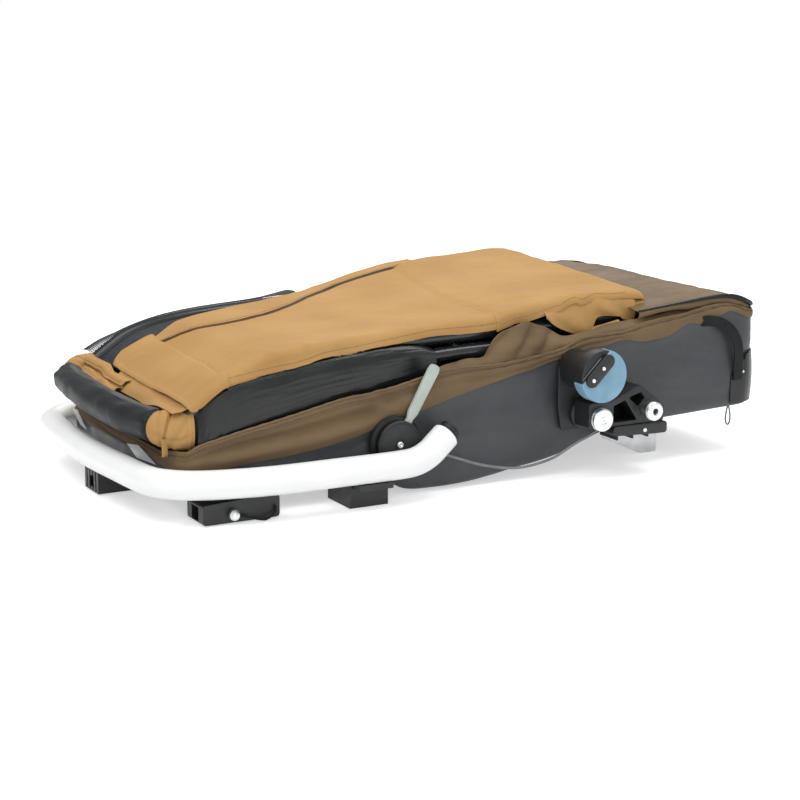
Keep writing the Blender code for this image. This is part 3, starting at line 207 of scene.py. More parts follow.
# Waxed cotton canvas: a dense plain weave with a dry, chalky face and slightly paler rubbed patches.
# Real threads are 0.6 mm apart and are drawn at 1.3 mm, so that they show.
canvasLook = {**clothLook, "pale": "#C79F66", "deep": "#B58B54", "hollowShade": "#8F6C3E", "hollow": 0.35,
              "roughness": 0.82, "specular": 0.25, "sheen": 0.12, "threads": 1.3, "crease": 34,
              "creaseDepth": 1.4, "relief": 0.35}
# Olive nylon taffeta with a light coating: satin folds that catch the light. Threads 0.3 mm, drawn at 1.1 mm.
taffetaLook = {**clothLook, "pale": "#7C674C", "deep": "#6A573F", "hollowShade": "#54442E", "hollow": 0.25,
               "roughness": 0.6, "specular": 0.22, "threads": 1.1, "patch": 90, "creaseDepth": 1.2,
               "relief": 0.2}
# PU coated polyester of the tub: a dull rubbery film over a 0.5 mm weave, with soft broad highlights.
tubClothLook = {**clothLook, "pale": "#3F4246", "deep": "#33363A", "hollowShade": "#292C2F", "roughness": 0.46,
                "specular": 0.5, "patch": 160, "crease": 40, "creaseDepth": 1.6, "relief": 0.15}
# The same cloth, darker and smoother, with a leathery sheen: tight over foam on the side panels, and flat on
# the corner patches.
padClothLook = {**clothLook, "pale": "#17191B", "deep": "#101213", "hollowShade": "#0B0C0D", "roughness": 0.3,
                "specular": 0.45, "crease": 30, "creaseDepth": 0.8, "relief": 0.08}
# The roll's cover and the piping: the same cloth with less film on it, so charcoal and duller.
rollClothLook = {**clothLook, "pale": "#25282A", "deep": "#1B1D1F", "hollowShade": "#131415", "roughness": 0.48,
                 "specular": 0.2, "creaseDepth": 1.0}
# Polyester webbing: coarse ribs 1.6 mm apart, matt black.
webbingLook = {**clothLook, "pale": "#222426", "deep": "#17191A", "hollowShade": "#0E0F10", "hollow": 0.5,
               "roughness": 0.8, "specular": 0.3, "sheen": 0.2, "threads": 1.6, "patch": 40, "crease": 12,
               "creaseDepth": 0.2, "relief": 0.8}
# Knotless net: thin grey polyester cord, paler than the webbing because light gets in between its plies.
netCordLook = {**clothLook, "pale": "#5A5D60", "deep": "#494C4F", "hollowShade": "#3A3D40", "roughness": 0.6,
               "specular": 0.4, "patch": 40, "crease": 12, "creaseDepth": 0.1, "relief": 0.3}


def unevenFace(tree, shader, look, toneSize, glossSize, below, above):
    # colour and roughness in patches of those sizes in millimetres
    tone = mixedColour(tree, patches(tree, toneSize * mm, 0.0, 1.0), linearColour(look["deep"]),
                       linearColour(look["pale"]))
    gloss = patches(tree, glossSize * mm, look["roughness"] - below, look["roughness"] + above, 4.0)
    plug(tree, shader, {"Base Color": tone, "Roughness": gloss})


def plasticMaterial(name, look):
    # moulded: a fine spark-eroded grain in the mould, and slightly uneven gloss where it is handled
    made, tree, shader = startMaterial(name, {"IOR": 1.5, "Specular IOR Level": 0.5})
    unevenFace(tree, shader, look, 35, 22, 0.05, 0.06)
    grain = patches(tree, look["grain"] * mm, 0.0, 1.0, 1.0)
    bumpOver(tree, shader, [(grain, 0.12 * mm, look["relief"])])
    return made


# Glass-filled nylon: near black, grey where the light grazes it. Grain 0.8 mm.
nylonLook = {"pale": "#1E2022", "deep": "#151618", "roughness": 0.44, "grain": 0.8, "relief": 0.35}
# Unfilled grey nylon of the levers: pale with a green cast, smoother than the black parts.
leverLook = {"pale": "#BAC3BB", "deep": "#A9B3AC", "roughness": 0.42, "grain": 1.0, "relief": 0.2}
# Cast polyurethane of the blue suspension pads: waxy and dull, with a soft cloudy tone.
urethaneLook = {"pale": "#86ACC2", "deep": "#7099B2", "roughness": 0.5, "grain": 2.4, "relief": 0.25}
# PVC sleeve of the brake cable, grey and glossy.
sleeveLook = {"pale": "#7C7F82", "deep": "#686B6E", "roughness": 0.3, "grain": 1.2, "relief": 0.1}


def paintMaterial(name, look):
    # powder coat: a thick even film whose orange peel softens the reflections
    made, tree, shader = startMaterial(name, {"IOR": 1.5, "Coat Weight": look["coat"],
                                              "Coat Roughness": 0.12})
    unevenFace(tree, shader, look, 80, 30, 0.04, 0.05)
    peel = patches(tree, 2.2 * mm, 0.0, 1.0, 1.0)
    bumpOver(tree, shader, [(peel, 0.05 * mm, 0.25)])
    return made


# White powder coat of the bumper: bright and satin. Orange peel 2.2 mm.
whiteLook = {"pale": "#F4F5F4", "deep": "#EEF0EF", "roughness": 0.34, "coat": 0.25}
# Black powder coat of the roof frame's tubes: dark grey in the light.
blackLook = {"pale": "#232629", "deep": "#1B1D1F", "roughness": 0.28, "coat": 0.1}


def metalMaterial(name, look):
    # turning or brushing lines: a fine stretched noise across the metal, with duller patches from handling
    made, tree, shader = startMaterial(name, {"Metallic": 1.0})
    unevenFace(tree, shader, look, 18, 9, 0.06, 0.08)
    place = addNode(tree, "ShaderNodeTexCoord", {})
    stretched = addNode(tree, "ShaderNodeMapping",
                        {"Vector": place.outputs["Object"], "Scale": look["lines"]})
    lines = addNode(tree, "ShaderNodeTexNoise", {"Vector": stretched.outputs[0], "Scale": 1.0,
                                                 "Detail": 2.0})
    bumpOver(tree, shader, [(lines.outputs[0], 0.04 * mm, 0.3)])
    return made


# Zinc plated turned steel: bright, with tool marks 0.5 mm apart across the turning axis.
steelLook = {"pale": "#EEEFF0", "deep": "#DDDFE0", "roughness": 0.3, "lines": (900, 2500, 900)}
# Extruded aluminium, left bare: softer and greyer, with die lines along its length.
aluminiumLook = {"pale": "#CFD1D2", "deep": "#B9BCBE", "roughness": 0.4, "lines": (60, 1400, 1400)}
# Painted steel wire of the zip loop: dark grey.
wireLook = {"pale": "#5B5E61", "deep": "#494C4F", "roughness": 0.4, "lines": (700, 700, 300)}


def reflectiveMaterial(name):
    # retroreflective film: a pale silver face with sealed honeycomb cells 3 mm across
    made, tree, shader = startMaterial(name, {"Roughness": 0.3, "Coat Weight": 0.4})
    place = addNode(tree, "ShaderNodeTexCoord", {})
    cells = addNode(tree, "ShaderNodeTexVoronoi",
                    {"Vector": place.outputs["Object"], "Scale": 1 / (3 * mm)}, feature="DISTANCE_TO_EDGE")
    rim = addNode(tree, "ShaderNodeMapRange", {"Value": cells.outputs["Distance"], "From Max": 0.12,
                                               "To Min": 1.0, "To Max": 0.0})
    tone = mixedColour(tree, rim.outputs[0], linearColour("#F0F2F3"), linearColour("#CDD1D3"))
    plug(tree, shader, {"Base Color": tone})
    bumpOver(tree, shader, [(cells.outputs["Distance"], 0.1 * mm, 0.3)])
    return made


def threadMaterial(name, hexText):
    # bonded polyester thread: two plies, so a fine slanting line pattern 0.8 mm apart, whose darker lines are
    # painted shade in the grooves between the plies
    made, tree, shader = startMaterial(name, {"Roughness": 0.6})
    place = addNode(tree, "ShaderNodeTexCoord", {})
    plies = addNode(tree, "ShaderNodeTexWave",
                    {"Vector": place.outputs["Object"], "Scale": 2 * pi / (20 * 0.8 * mm)},
                    bands_direction="DIAGONAL")
    base = linearColour(hexText)
    plyShade = tuple(0.6 * value for value in base[:3]) + (1.0,)
    plug(tree, shader, {"Base Color": mixedColour(tree, plies.outputs[1], plyShade, base)})
    bumpOver(tree, shader, [(plies.outputs[1], 0.1 * mm, 0.4)])
    return made


def floorMaterial():
    # studio paper: its own colour is a pale white, and camera, glossy and transmitted rays see it brighter,
    # so that the plain floor is white in the picture and the shadow on it stays
    made, tree, shader = startMaterial("studioPaper", {"Roughness": 0.9, "Specular IOR Level": 0.0,
                                                       "Base Color": linearColour("#F4F4F4"),
                                                       "Emission Color": (1, 1, 1, 1)})
    path = addNode(tree, "ShaderNodeLightPath", {})
    seen = addNode(tree, "ShaderNodeMath",
                   {0: path.outputs["Is Camera Ray"], 1: path.outputs["Is Glossy Ray"]}, operation="ADD")
    seen = addNode(tree, "ShaderNodeMath", {0: seen.outputs[0], 1: path.outputs["Is Transmission Ray"]},
                   operation="ADD", use_clamp=True)
    glow = addNode(tree, "ShaderNodeMath", {0: seen.outputs[0], 1: 0.5}, operation="MULTIPLY")
    plug(tree, shader, {"Emission Strength": glow.outputs[0]})
    return made


def addWorld():
    world = bpy.data.worlds.new("studio")
    world.use_nodes = True
    tree = world.node_tree
    path = addNode(tree, "ShaderNodeLightPath", {})
    strength = addNode(tree, "ShaderNodeMapRange", {"Value": path.outputs["Is Camera Ray"],
                                                    "To Min": worldStrength, "To Max": 1.0})
    plug(tree, tree.nodes["Background"], {"Color": (1, 1, 1, 1), "Strength": strength.outputs[0]})
    bpy.context.scene.world = world


canvas = clothMaterial("waxedCanvas", canvasLook)
taffeta = clothMaterial("oliveTaffeta", taffetaLook)
tubCloth = clothMaterial("coatedPolyester", tubClothLook)
padCloth = clothMaterial("coatedPolyesterOnFoam", padClothLook)
rollCloth = clothMaterial("dullCoatedPolyester", rollClothLook)
webbing = clothMaterial("polyesterWebbing", webbingLook)
netCord = clothMaterial("greyNetCord", netCordLook)
blackNylon = plasticMaterial("glassFilledNylon", nylonLook)
leverNylon = plasticMaterial("greyNylon", leverLook)
urethane = plasticMaterial("castPolyurethane", urethaneLook)
cableSleeve = plasticMaterial("pvcSleeve", sleeveLook)
whiteCoat = paintMaterial("whitePowderCoat", whiteLook)
blackCoat = paintMaterial("blackPowderCoat", blackLook)
steel = metalMaterial("zincPlatedSteel", steelLook)
aluminium = metalMaterial("bareAluminium", aluminiumLook)
wire = metalMaterial("paintedWire", wireLook)
reflective = reflectiveMaterial("reflectiveFilm")
goldThread = threadMaterial("goldThread", "#D2AA6E")
brownThread = threadMaterial("brownThread", "#6A4C2C")
oliveThread = threadMaterial("oliveThread", "#5E4B36")
darkThread = threadMaterial("darkThread", "#3A3D40")
print("materials ready")


# Making of meshes

def addPiece(name, points, faces, look, smooth=True):
    mesh = bpy.data.meshes.new(name)
    mesh.from_pydata([tuple(point) for point in points], [], faces)
    mesh.materials.append(look)
    if smooth:
        mesh.shade_smooth()
    return link(bpy.data.objects.new(name, mesh))


def settle(piece, sharpAngle=None):
    # applies the piece's modifiers, so that its mesh is final
    graph = bpy.context.evaluated_depsgraph_get()
    mesh = bpy.data.meshes.new_from_object(piece.evaluated_get(graph))
    piece.modifiers.clear()
    piece.data = mesh
    mesh.shade_smooth()
    if sharpAngle:
        mesh.set_sharp_from_angle(angle=radians(sharpAngle))
    return piece


def soften(piece, width, segments=2, sharpAngle=40):
    rounding = piece.modifiers.new("rounding", "BEVEL")
    rounding.width = width
    rounding.segments = segments
    rounding.limit_method = "ANGLE"
    rounding.angle_limit = radians(32)
    rounding.harden_normals = False
    return settle(piece, sharpAngle)


def thicken(piece, thick, offset, sharpAngle):
    solid = piece.modifiers.new("thickness", "SOLIDIFY")
    solid.thickness = thick
    solid.offset = offset
    return settle(piece, sharpAngle)


def outward(piece):
    # turns the faces of a closed mesh outwards
    bm = bmesh.new()
    bm.from_mesh(piece.data)
    bmesh.ops.recalc_face_normals(bm, faces=bm.faces)
    bm.to_mesh(piece.data)
    bm.free()
    return piece


def turns(count):
    return [2 * pi * step / count for step in range(count)]


def gridFaces(rows, columns, wrapRows=False, wrapColumns=False):
    faces = []
    for i in range(rows if wrapRows else rows - 1):
        for j in range(columns if wrapColumns else columns - 1):
            k, m = (i + 1) % rows, (j + 1) % columns
            faces.append((i * columns + j, k * columns + j, k * columns + m, i * columns + m))
    return faces


def sheetPiece(name, surface, columns, rows, look, thick=0.0, wrap=False):
    # a cloth from surface(u, v), thickened to both sides
    count = columns if wrap else columns + 1
    points = [surface(i / columns, j / rows) for i in range(count) for j in range(rows + 1)]
    piece = addPiece(name, points, gridFaces(count, rows + 1, wrapRows=wrap), look)
    return outward(thicken(piece, thick, 0.0, 70)) if thick else piece


def sweepPiece(name, path, radius, look, sides=24, closed=False, taper=None, flatten=1.0, lean=(0, 0, 1)):
    # a tube along the path; taper(share) scales its rings, flatten squeezes them along the lean direction
    path = [Vector(point) for point in path]
    count = len(path)
    normal = Vector(lean)
    points = []
    for i, here in enumerate(path):
        ahead = path[(i + 1) % count] if closed or i + 1 < count else here
        behind = path[i - 1] if closed or i > 0 else here
        along = (ahead - behind).normalized()
        normal = (normal - along * normal.dot(along)).normalized()
        side = along.cross(normal)
        size = radius * (taper(i / (count - 1)) if taper else 1.0)
        points += [here + (normal * cos(turn) * flatten + side * sin(turn)) * size for turn in turns(sides)]
    faces = gridFaces(count, sides, closed, True)
    if not closed:
        faces.append(tuple(range(sides)))
        faces.append(tuple(range(count * sides - 1, count * sides - sides - 1, -1)))
    return outward(addPiece(name, points, faces, look))


def turnedPiece(name, profile, centre, direction, look, steps=64, edge=0.5 * mm):
    # profile entries: (radius, height), or (radius, height, corners) for a ring of flats such as a hex socket
    direction = Vector(direction)
    across = direction.orthogonal().normalized()
    other = direction.cross(across)
    points, rings = [], []
    for entry in profile:
        radius, height = entry[:2]
        middle = Vector(centre) + direction * height
        if radius == 0:
            rings.append([len(points)])
            points.append(middle)
            continue
        ring = []
        for turn in turns(steps):
            reach = radius
            if len(entry) > 2:
                sector = 2 * pi / entry[2]
                reach = radius * cos(sector / 2) / cos(turn % sector - sector / 2)
            ring.append(len(points))
            points.append(middle + (across * cos(turn) + other * sin(turn)) * reach)
        rings.append(ring)
    closed = profile[0][0] > 0
    faces = []
    pairs = list(zip(rings, rings[1:])) + ([(rings[-1], rings[0])] if closed else [])
    for a, b in pairs:
        for i in range(steps):
            j = (i + 1) % steps
            if len(a) == 1:
                faces.append((a[0], b[j], b[i]))
            elif len(b) == 1:
                faces.append((a[i], a[j], b[0]))
            else:
                faces.append((a[i], a[j], b[j], b[i]))
    piece = outward(addPiece(name, points, faces, look))
    return soften(piece, edge) if edge else piece


def platePiece(name, outlines, side, inner, outer, look, edge=0.6 * mm):
    # a flat plate in side view (x, z): a rim and its holes, from inner to outward along Y, with rounded edges
    data = bpy.data.curves.new(name, "CURVE")
    data.dimensions = "2D"
    data.fill_mode = "BOTH"
    data.extrude = (outer - inner) / 2 - edge
    data.bevel_depth = edge
    data.bevel_resolution = 2
    data.offset = -edge
    for outline in outlines:
        spline = data.splines.new("POLY")
        spline.points.add(len(outline) - 1)
        for point, (x, z) in zip(spline.points, outline):
            point.co = (x, z, 0, 1)
        spline.use_cyclic_u = True
    curve = link(bpy.data.objects.new(name, data))
    bpy.context.view_layer.update()
    mesh = bpy.data.meshes.new_from_object(curve.evaluated_get(bpy.context.evaluated_depsgraph_get()))
    bpy.data.objects.remove(curve)
    mesh.transform(Matrix.Translation((0, side * (inner + outer) / 2, 0)) @ Matrix.Rotation(pi / 2, 4, "X"))
    mesh.materials.clear()
    mesh.materials.append(look)
    bm = bmesh.new()
    bm.from_mesh(mesh)
    bmesh.ops.remove_doubles(bm, verts=bm.verts, dist=0.000004)
    bmesh.ops.recalc_face_normals(bm, faces=bm.faces)
    bm.to_mesh(mesh)
    bm.free()
    mesh.shade_smooth()
    mesh.set_sharp_from_angle(angle=radians(40))
    return link(bpy.data.objects.new(name, mesh))


def boxPiece(name, low, high, look, edge=1.0 * mm):
    bm = bmesh.new()
    size = [b - a for a, b in zip(low, high)]
    middle = [(a + b) / 2 for a, b in zip(low, high)]
    bmesh.ops.create_cube(bm, size=1.0, matrix=Matrix.Translation(middle) @ Matrix.Diagonal((*size, 1)))
    mesh = bpy.data.meshes.new(name)
    bm.to_mesh(mesh)
    bm.free()
    mesh.materials.append(look)
    return soften(link(bpy.data.objects.new(name, mesh)), edge, 3)


def joined(name, pieces):
    # several closed pieces as one object
    bm = bmesh.new()
    looks = []
    for piece in pieces:
        start = len(bm.faces)
        bm.from_mesh(piece.data)
        bm.faces.ensure_lookup_table()
        if piece.data.materials[0] not in looks:
            looks.append(piece.data.materials[0])
        for face in bm.faces[start:]:
            face.material_index = looks.index(piece.data.materials[0])
    mesh = bpy.data.meshes.new(name)
    bm.to_mesh(mesh)
    bm.free()
    for look in looks:
        mesh.materials.append(look)
    for piece in pieces:
        bpy.data.objects.remove(piece)
    return link(bpy.data.objects.new(name, mesh))


def smoothPath(points, pieces):
    # a smooth curve through the route's own points
    route = [Vector(point) for point in points]
    route = [2 * route[0] - route[1]] + route + [2 * route[-1] - route[-2]]
    made = []
    for a, b, c, d in zip(route, route[1:], route[2:], route[3:]):
        for step in range(pieces):
            t = step / pieces
            made.append(0.5 * (2 * b + (c - a) * t + (2 * a - 5 * b + 4 * c - d) * t * t
                               + (3 * b - a - 3 * c + d) * t ** 3))
    return made + [route[-2]]


def spotOn(path, share):
    # the step that the share of a path of vectors falls in, and the point there
    place = share * (len(path) - 1)
    i = min(int(place), len(path) - 2)
    return i, path[i].lerp(path[i + 1], place - i)


def curveAt(line, x):
    # smooth value at x of a line of (x, value) points, which may run either way
    points = line if line[0][0] < line[-1][0] else line[::-1]
    if x <= points[0][0]:
        return points[0][1]
    if x >= points[-1][0]:
        return points[-1][1]
    i = 0
    while x > points[i + 1][0]:
        i += 1
    (x0, z0), (x1, z1) = points[i], points[i + 1]
    before = points[i - 1] if i > 0 else points[i]
    after = points[i + 2] if i + 2 < len(points) else points[i + 1]
    slope0, slope1 = (z1 - before[1]) / (x1 - before[0]), (after[1] - z0) / (after[0] - x0)
    reach = x1 - x0
    t = (x - x0) / reach
    return ((2 * t ** 3 - 3 * t ** 2 + 1) * z0 + (t ** 3 - 2 * t ** 2 + t) * reach * slope0
            + (3 * t ** 2 - 2 * t ** 3) * z1 + (t ** 3 - t ** 2) * reach * slope1)


def ease(value, low, high):
    # 0 below low, 1 above high and smooth between them
    t = min(max((value - low) / (high - low), 0.0), 1.0)
    return t * t * (3 - 2 * t)


def between(low, high, share):
    return low + (high - low) * share


def bulge(value, centre, width):
    return exp(-((value - centre) / width) ** 2)


def waver(x, y, z, size):
    # smooth noise from about -0.5 to 0.5 that changes over that size
    return noise.noise(Vector((x / size + 3.1, y / size + 7.7, z / size + 1.3)))


def runningLengths(points):
    lengths = [0.0]
    for a, b in zip(points, points[1:]):
        lengths.append(lengths[-1] + (b - a).length)
    return lengths


def trackOn(surface, track, spacing=1.5 * mm):
    # evenly spaced points on the surface along a track of (u, v), each with the surface's normal there
    fine = []
    for (u0, v0), (u1, v1) in zip(track, track[1:]):
        for step in range(24):
            t = step / 24
            fine.append((between(u0, u1, t), between(v0, v1, t)))
    fine.append(track[-1])
    places = [Vector(surface(u, v)) for u, v in fine]
    lengths = runningLengths(places)
    count = max(2, int(lengths[-1] / spacing))
    made, i, nudge = [], 0, 0.002
    for step in range(count + 1):
        reach = lengths[-1] * step / count
        while i < len(lengths) - 2 and lengths[i + 1] < reach:
            i += 1
        t = (reach - lengths[i]) / max(lengths[i + 1] - lengths[i], 1e-9)
        u, v = (between(fine[i][k], fine[i + 1][k], t) for k in (0, 1))
        here = places[i].lerp(places[i + 1], t)
        du = Vector(surface(min(u + nudge, 1), v)) - Vector(surface(max(u - nudge, 0), v))
        dv = Vector(surface(u, min(v + nudge, 1))) - Vector(surface(u, max(v - nudge, 0)))
        normal = du.cross(dv)
        made.append((here, normal.normalized() if normal.length > 1e-12 else Vector((0, 0, 1))))
    return made


def stitchPiece(name, tracks, look, lift=1.0 * mm, pitch=4.2 * mm, length=3.0 * mm, thick=0.8 * mm):
    # rows of lockstitch: each stitch is a small bowed strand that dips into the cloth at its ends
    points, faces = [], []
    sides = 5
    for track in tracks:
        lengths, i = runningLengths([spot for spot, _ in track]), 0
        for number in range(int(lengths[-1] / pitch)):
            reach = (number + 0.5) * pitch
            while i < len(lengths) - 2 and lengths[i + 1] < reach:
                i += 1
            here, normal = track[i][0].lerp(track[i + 1][0], 0.5), track[i][1]
            along = (track[i + 1][0] - track[i][0]).normalized()
            side = along.cross(normal).normalized()
            base = len(points)
            for share, drop, size in ((-0.5, 0.5, 0.45), (-0.25, 0.0, 1.0), (0.25, 0.0, 1.0),
                                      (0.5, 0.5, 0.45)):
                middle = here + along * length * share + normal * (lift - drop * thick)
                points += [middle + (side * cos(turn) + normal * sin(turn)) * size * thick / 2
                           for turn in turns(sides)]
            for ring in range(3):
                for step in range(sides):
                    other = (step + 1) % sides
                    a, b = base + ring * sides, base + (ring + 1) * sides
                    faces.append((a + step, a + other, b + other, b + step))
            faces.append(tuple(base + step for step in range(sides)))
            faces.append(tuple(base + 3 * sides + step for step in reversed(range(sides))))
    return outward(addPiece(name, points, faces, look))


def ridePiece(piece, body, slotName, *replaced):
    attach(piece, body)
    if replaced:
        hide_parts(*replaced)
    return piece


def canvasPiece(piece, *replaced):
    # all the gold canvas rides on the roof frame
    return ridePiece(piece, "upper_frame", "gold_canvas", *replaced)


sides = (("near", -1), ("far", 1))


def measuredFlat(surface, columns=24, rows=24):
    # the width and length that the cloth is cut to: its greatest lengths across and along
    places = [[Vector(surface(i / columns, j / rows)) for j in range(rows + 1)] for i in range(columns + 1)]
    return tuple(max(runningLengths(line)[-1] for line in lines) for lines in (places, list(zip(*places))))


def declareCloth(piece, surface, restsOn):
    # measures the size a sheet was cut to on its surface and the area of one of its faces, and prints the
    # size
    width, length = measuredFlat(surface)
    area = sum(face.area for face in piece.data.polygons) / 2
    area = min(max(area, 0.3 * width * length), width * length)
    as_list(restsOn)
    print("cloth", piece.name, "cut to", round(width, 3), "x", round(length, 3), "m")


# Tub: the sizes that the other pieces are placed by

tub = {"front": -0.487, "rear": 0.5665, "frontHalf": 0.245, "rearHalf": 0.28, "frontCorner": 0.03,
       "rearCorner": 0.038, "bottomFront": 0.0325, "bottomAngle": 2.85, "edgeRound": 0.014, "wall": 0.003}
rimLine = [(-0.487, 0.076), (-0.43, 0.08), (-0.25, 0.097), (-0.1, 0.134), (0.0, 0.16), (0.123, 0.188),
           (0.199, 0.206), (0.252, 0.2145), (0.296, 0.2185), (0.341, 0.2145), (0.374, 0.2185),
           (0.396, 0.229), (0.415, 0.236), (0.439, 0.2345), (0.458, 0.237), (0.478, 0.244), (0.498, 0.251),
           (0.518, 0.248), (0.542, 0.238), (0.57, 0.236)]
hemLine = [(-0.487, 0.0925), (-0.478, 0.104), (-0.461, 0.115), (-0.433, 0.122), (-0.392, 0.131),
           (-0.355, 0.138), (-0.29, 0.151), (-0.239, 0.162), (-0.211, 0.167), (-0.151, 0.173),
           (-0.097, 0.184), (-0.05, 0.194), (0.0, 0.197), (0.05, 0.1965), (0.096, 0.2), (0.172, 0.2115),
           (0.212, 0.2265), (0.27, 0.23), (0.294, 0.231), (0.318, 0.238), (0.342, 0.2435), (0.374, 0.2475),
           (0.407, 0.2505), (0.439, 0.257), (0.472, 0.262), (0.5, 0.261), (0.52, 0.256), (0.545, 0.248),
           (0.57, 0.2465)]


def tubHalf(x):
    wider = (tub["rearHalf"] - tub["frontHalf"]) * (x - tub["front"])
    return tub["frontHalf"] + wider / (tub["rear"] - tub["front"])


def tubBottom(x):
    return tub["bottomFront"] + (x - tub["front"]) * tan(radians(tub["bottomAngle"]))


bellyLine = [(-0.155, 0.0), (-0.135, 0.0275), (-0.11, 0.043), (-0.06, 0.049), (0.0, 0.05), (0.05, 0.046),
             (0.09, 0.041), (0.135, 0.037), (0.175, 0.03), (0.215, 0.018), (0.25, 0.007), (0.285, 0.0)]


def tubLow(x):
    # the slack floor cloth sags under the straight bottom between the blocks and the foot plates
    return max(tubBottom(x) - curveAt(bellyLine, x), 1.5 * mm)


def tubOutline(spacing):
    # the plan outline from the middle of the front along the near side to the rear and back on the far side
    frontCorner, rearCorner = tub["frontCorner"], tub["rearCorner"]
    first, last = tub["front"] + frontCorner, tub["rear"] - rearCorner
    frontY, rearY = tubHalf(first) - frontCorner, tubHalf(last) - rearCorner
    quarter = [pi / 2 * step / 8 for step in range(9)]
    count = int(frontY / spacing) + 1
    near = [(tub["front"], -frontY * step / count) for step in range(count)]
    near += [(first - frontCorner * cos(turn), -(frontY + frontCorner * sin(turn))) for turn in quarter]
    count = int((last - first) / spacing)
    along = [first + (last - first) * step / count for step in range(1, count)]
    near += [(x, -tubHalf(x)) for x in along]
    near += [(last + rearCorner * sin(turn), -(rearY + rearCorner * cos(turn))) for turn in quarter]
    count = int(rearY / spacing) + 1
    near += [(tub["rear"], -rearY * (1 - step / count)) for step in range(1, count + 1)]
    return near + [(x, -y) for x, y in near[-2:0:-1]]


tubRing = tubOutline(7 * mm)


def outwardAt(ring, i):
    (x0, y0), (x1, y1) = ring[i - 1], ring[(i + 1) % len(ring)]
    run = Vector((x1 - x0, y1 - y0, 0)).normalized()
    return Vector((run.y, -run.x, 0))


def hemHeight(x, y):
    # the elastic hem; along the front it rises towards both corners
    height = curveAt(hemLine, x)
    return max(height, 0.0895 + 0.0155 * ease(abs(y), 0.13, 0.235)) if x < -0.44 else height


def rimHeight(x, y):
    # the dark wall's top edge, pulled into waves by the loose cloth behind it
    wave = 0.0012 * sin(x * 90 + y * 20) * ease(x, 0.0, 0.2)
    return curveAt(rimLine, x) + wave


def wallDent(x, y, z):
    # how far the cloth wall stands out: slack between the rails and the rim, and long creases where it sags
    low = tubLow(x)
    height = ease(z, low + 0.01, low + 0.04) * (1 - ease(z, rimHeight(x, y) - 0.02, rimHeight(x, y)))
    slack = 4.2 * mm * waver(x * 0.6, y, z * 1.6, 0.11) + 2.0 * mm * waver(x, y, z, 0.045)
    sag = curveAt(bellyLine, x) / 0.05 * (1 - ease(z, 0.08, 0.13)) + 0.35 * ease(x, 0.28, 0.36)
    creases = 3.4 * mm * (0.28 - abs(waver(x * 0.35 - z * 0.4, y, z * 2.4 + x * 0.5, 0.042)))
    return height * (slack - 1.2 * mm + sag * creases)


def buildTubShell():
    levels, curl = 34, 6
    rings = []
    for level in range(levels + 1):
        ring = []
        for i, (x, y) in enumerate(tubRing):
            out = outwardAt(tubRing, i)
            low = tubLow(x)
            if level < curl:
                turn = pi / 2 * level / curl
                back = tub["edgeRound"] * 0.7 * (1 - sin(turn))
                z = low + tub["edgeRound"] * (1 - cos(turn))
                dent = 0.0
            else:
                share = (level - curl) / (levels - curl)
                low += tub["edgeRound"]
                z = between(low, rimHeight(x, y), share)
                back, dent = 0.0, wallDent(x, y, z)
            ring.append(Vector((x, y, z)) + out * (dent - back))
        rings.append(ring)
    count = len(tubRing)
    points = [point for ring in rings for point in ring]
    faces = gridFaces(levels + 1, count, wrapColumns=True)
    half = count // 2
    across = 12
    rows = [[0] * (across + 1)]  # the floor cloth: strips across from each near point to its far twin
    for i in range(1, half):
        row = [i]
        (x, y, z), twin = rings[0][i], rings[0][count - i]
        for step in range(1, across):
            share = step / across
            row.append(len(points))
            points.append(Vector((x, between(y, twin.y, share), z + 0.8 * mm * waver(x, share, 0, 0.05))))
        rows.append(row + [count - i])
    for a, b in zip(rows[1:], rows[2:]):
        for step in range(across):
            faces.append((a[step], b[step], b[step + 1], a[step + 1]))
    faces.append((0, *rows[1]))
    faces.append((half, *reversed(rows[-1])))
    piece = thicken(outward(addPiece("tubShell", points, faces, tubCloth)), 2.4 * mm, -1.0, 60)
    ridePiece(piece, "tub", "coated_fabric", "tub_shell")


buildTubShell()


def bandSurface(u, v):
    # u runs round the tub, v from the dark rim up to the elastic hem
    place = u * len(tubRing)
    i = int(place) % len(tubRing)
    j = (i + 1) % len(tubRing)
    t = place - int(place)
    x = tubRing[i][0] * (1 - t) + tubRing[j][0] * t
    y = tubRing[i][1] * (1 - t) + tubRing[j][1] * t
    out = outwardAt(tubRing, i).lerp(outwardAt(tubRing, j), t).normalized()
    low, high = rimHeight(x, y) - 2.5 * mm, hemHeight(x, y)
    ruffle = 1.1 * mm * sin(x * 210 + y * 190) * ease(v, 0.8, 1.0) * ease(x, -0.1, 0.1)
    size = min(1.0, (high - low) / 0.05)
    puff = 5.0 * mm * size * sin(pi * min(v * 1.15, 1.0)) * (0.65 + 0.9 * waver(x, y, 0.0, 0.16))
    fold = -6.5 * mm * size * bulge(v, 0.42 + 0.5 * waver(x * 0.7, y, 0.5, 0.2), 0.16)
    fold *= ease(waver(x, y, 2.0, 0.13), -0.25, 0.3)
    front = ease(x, -0.46, -0.4) * (1 - ease(x, -0.2, -0.13))
    fold = fold * (1 - front) - 9 * mm * front * bulge(v, 0.58 - 0.5 * (x + 0.42), 0.16)
    fold += 3.0 * mm * front * bulge(v, 0.2, 0.15)
    kink = bulge(x + 0.05 * v, -0.13, 0.014) - bulge(x + 0.06 * v, -0.1, 0.012)
    fold += 3.5 * mm * kink * ease(v, 0.1, 0.6)
    tuck = 1.6 * mm - 2.2 * mm * ease(v, 0.9, 1.0) - 1.6 * mm * bulge(v, 0.8, 0.03)
    z = between(low, high, v)
    return Vector((x, y, z)) + out * (puff + fold + tuck + ruffle
                                      + 1.2 * mm * waver(x, y, z, 0.03) * sin(pi * v))


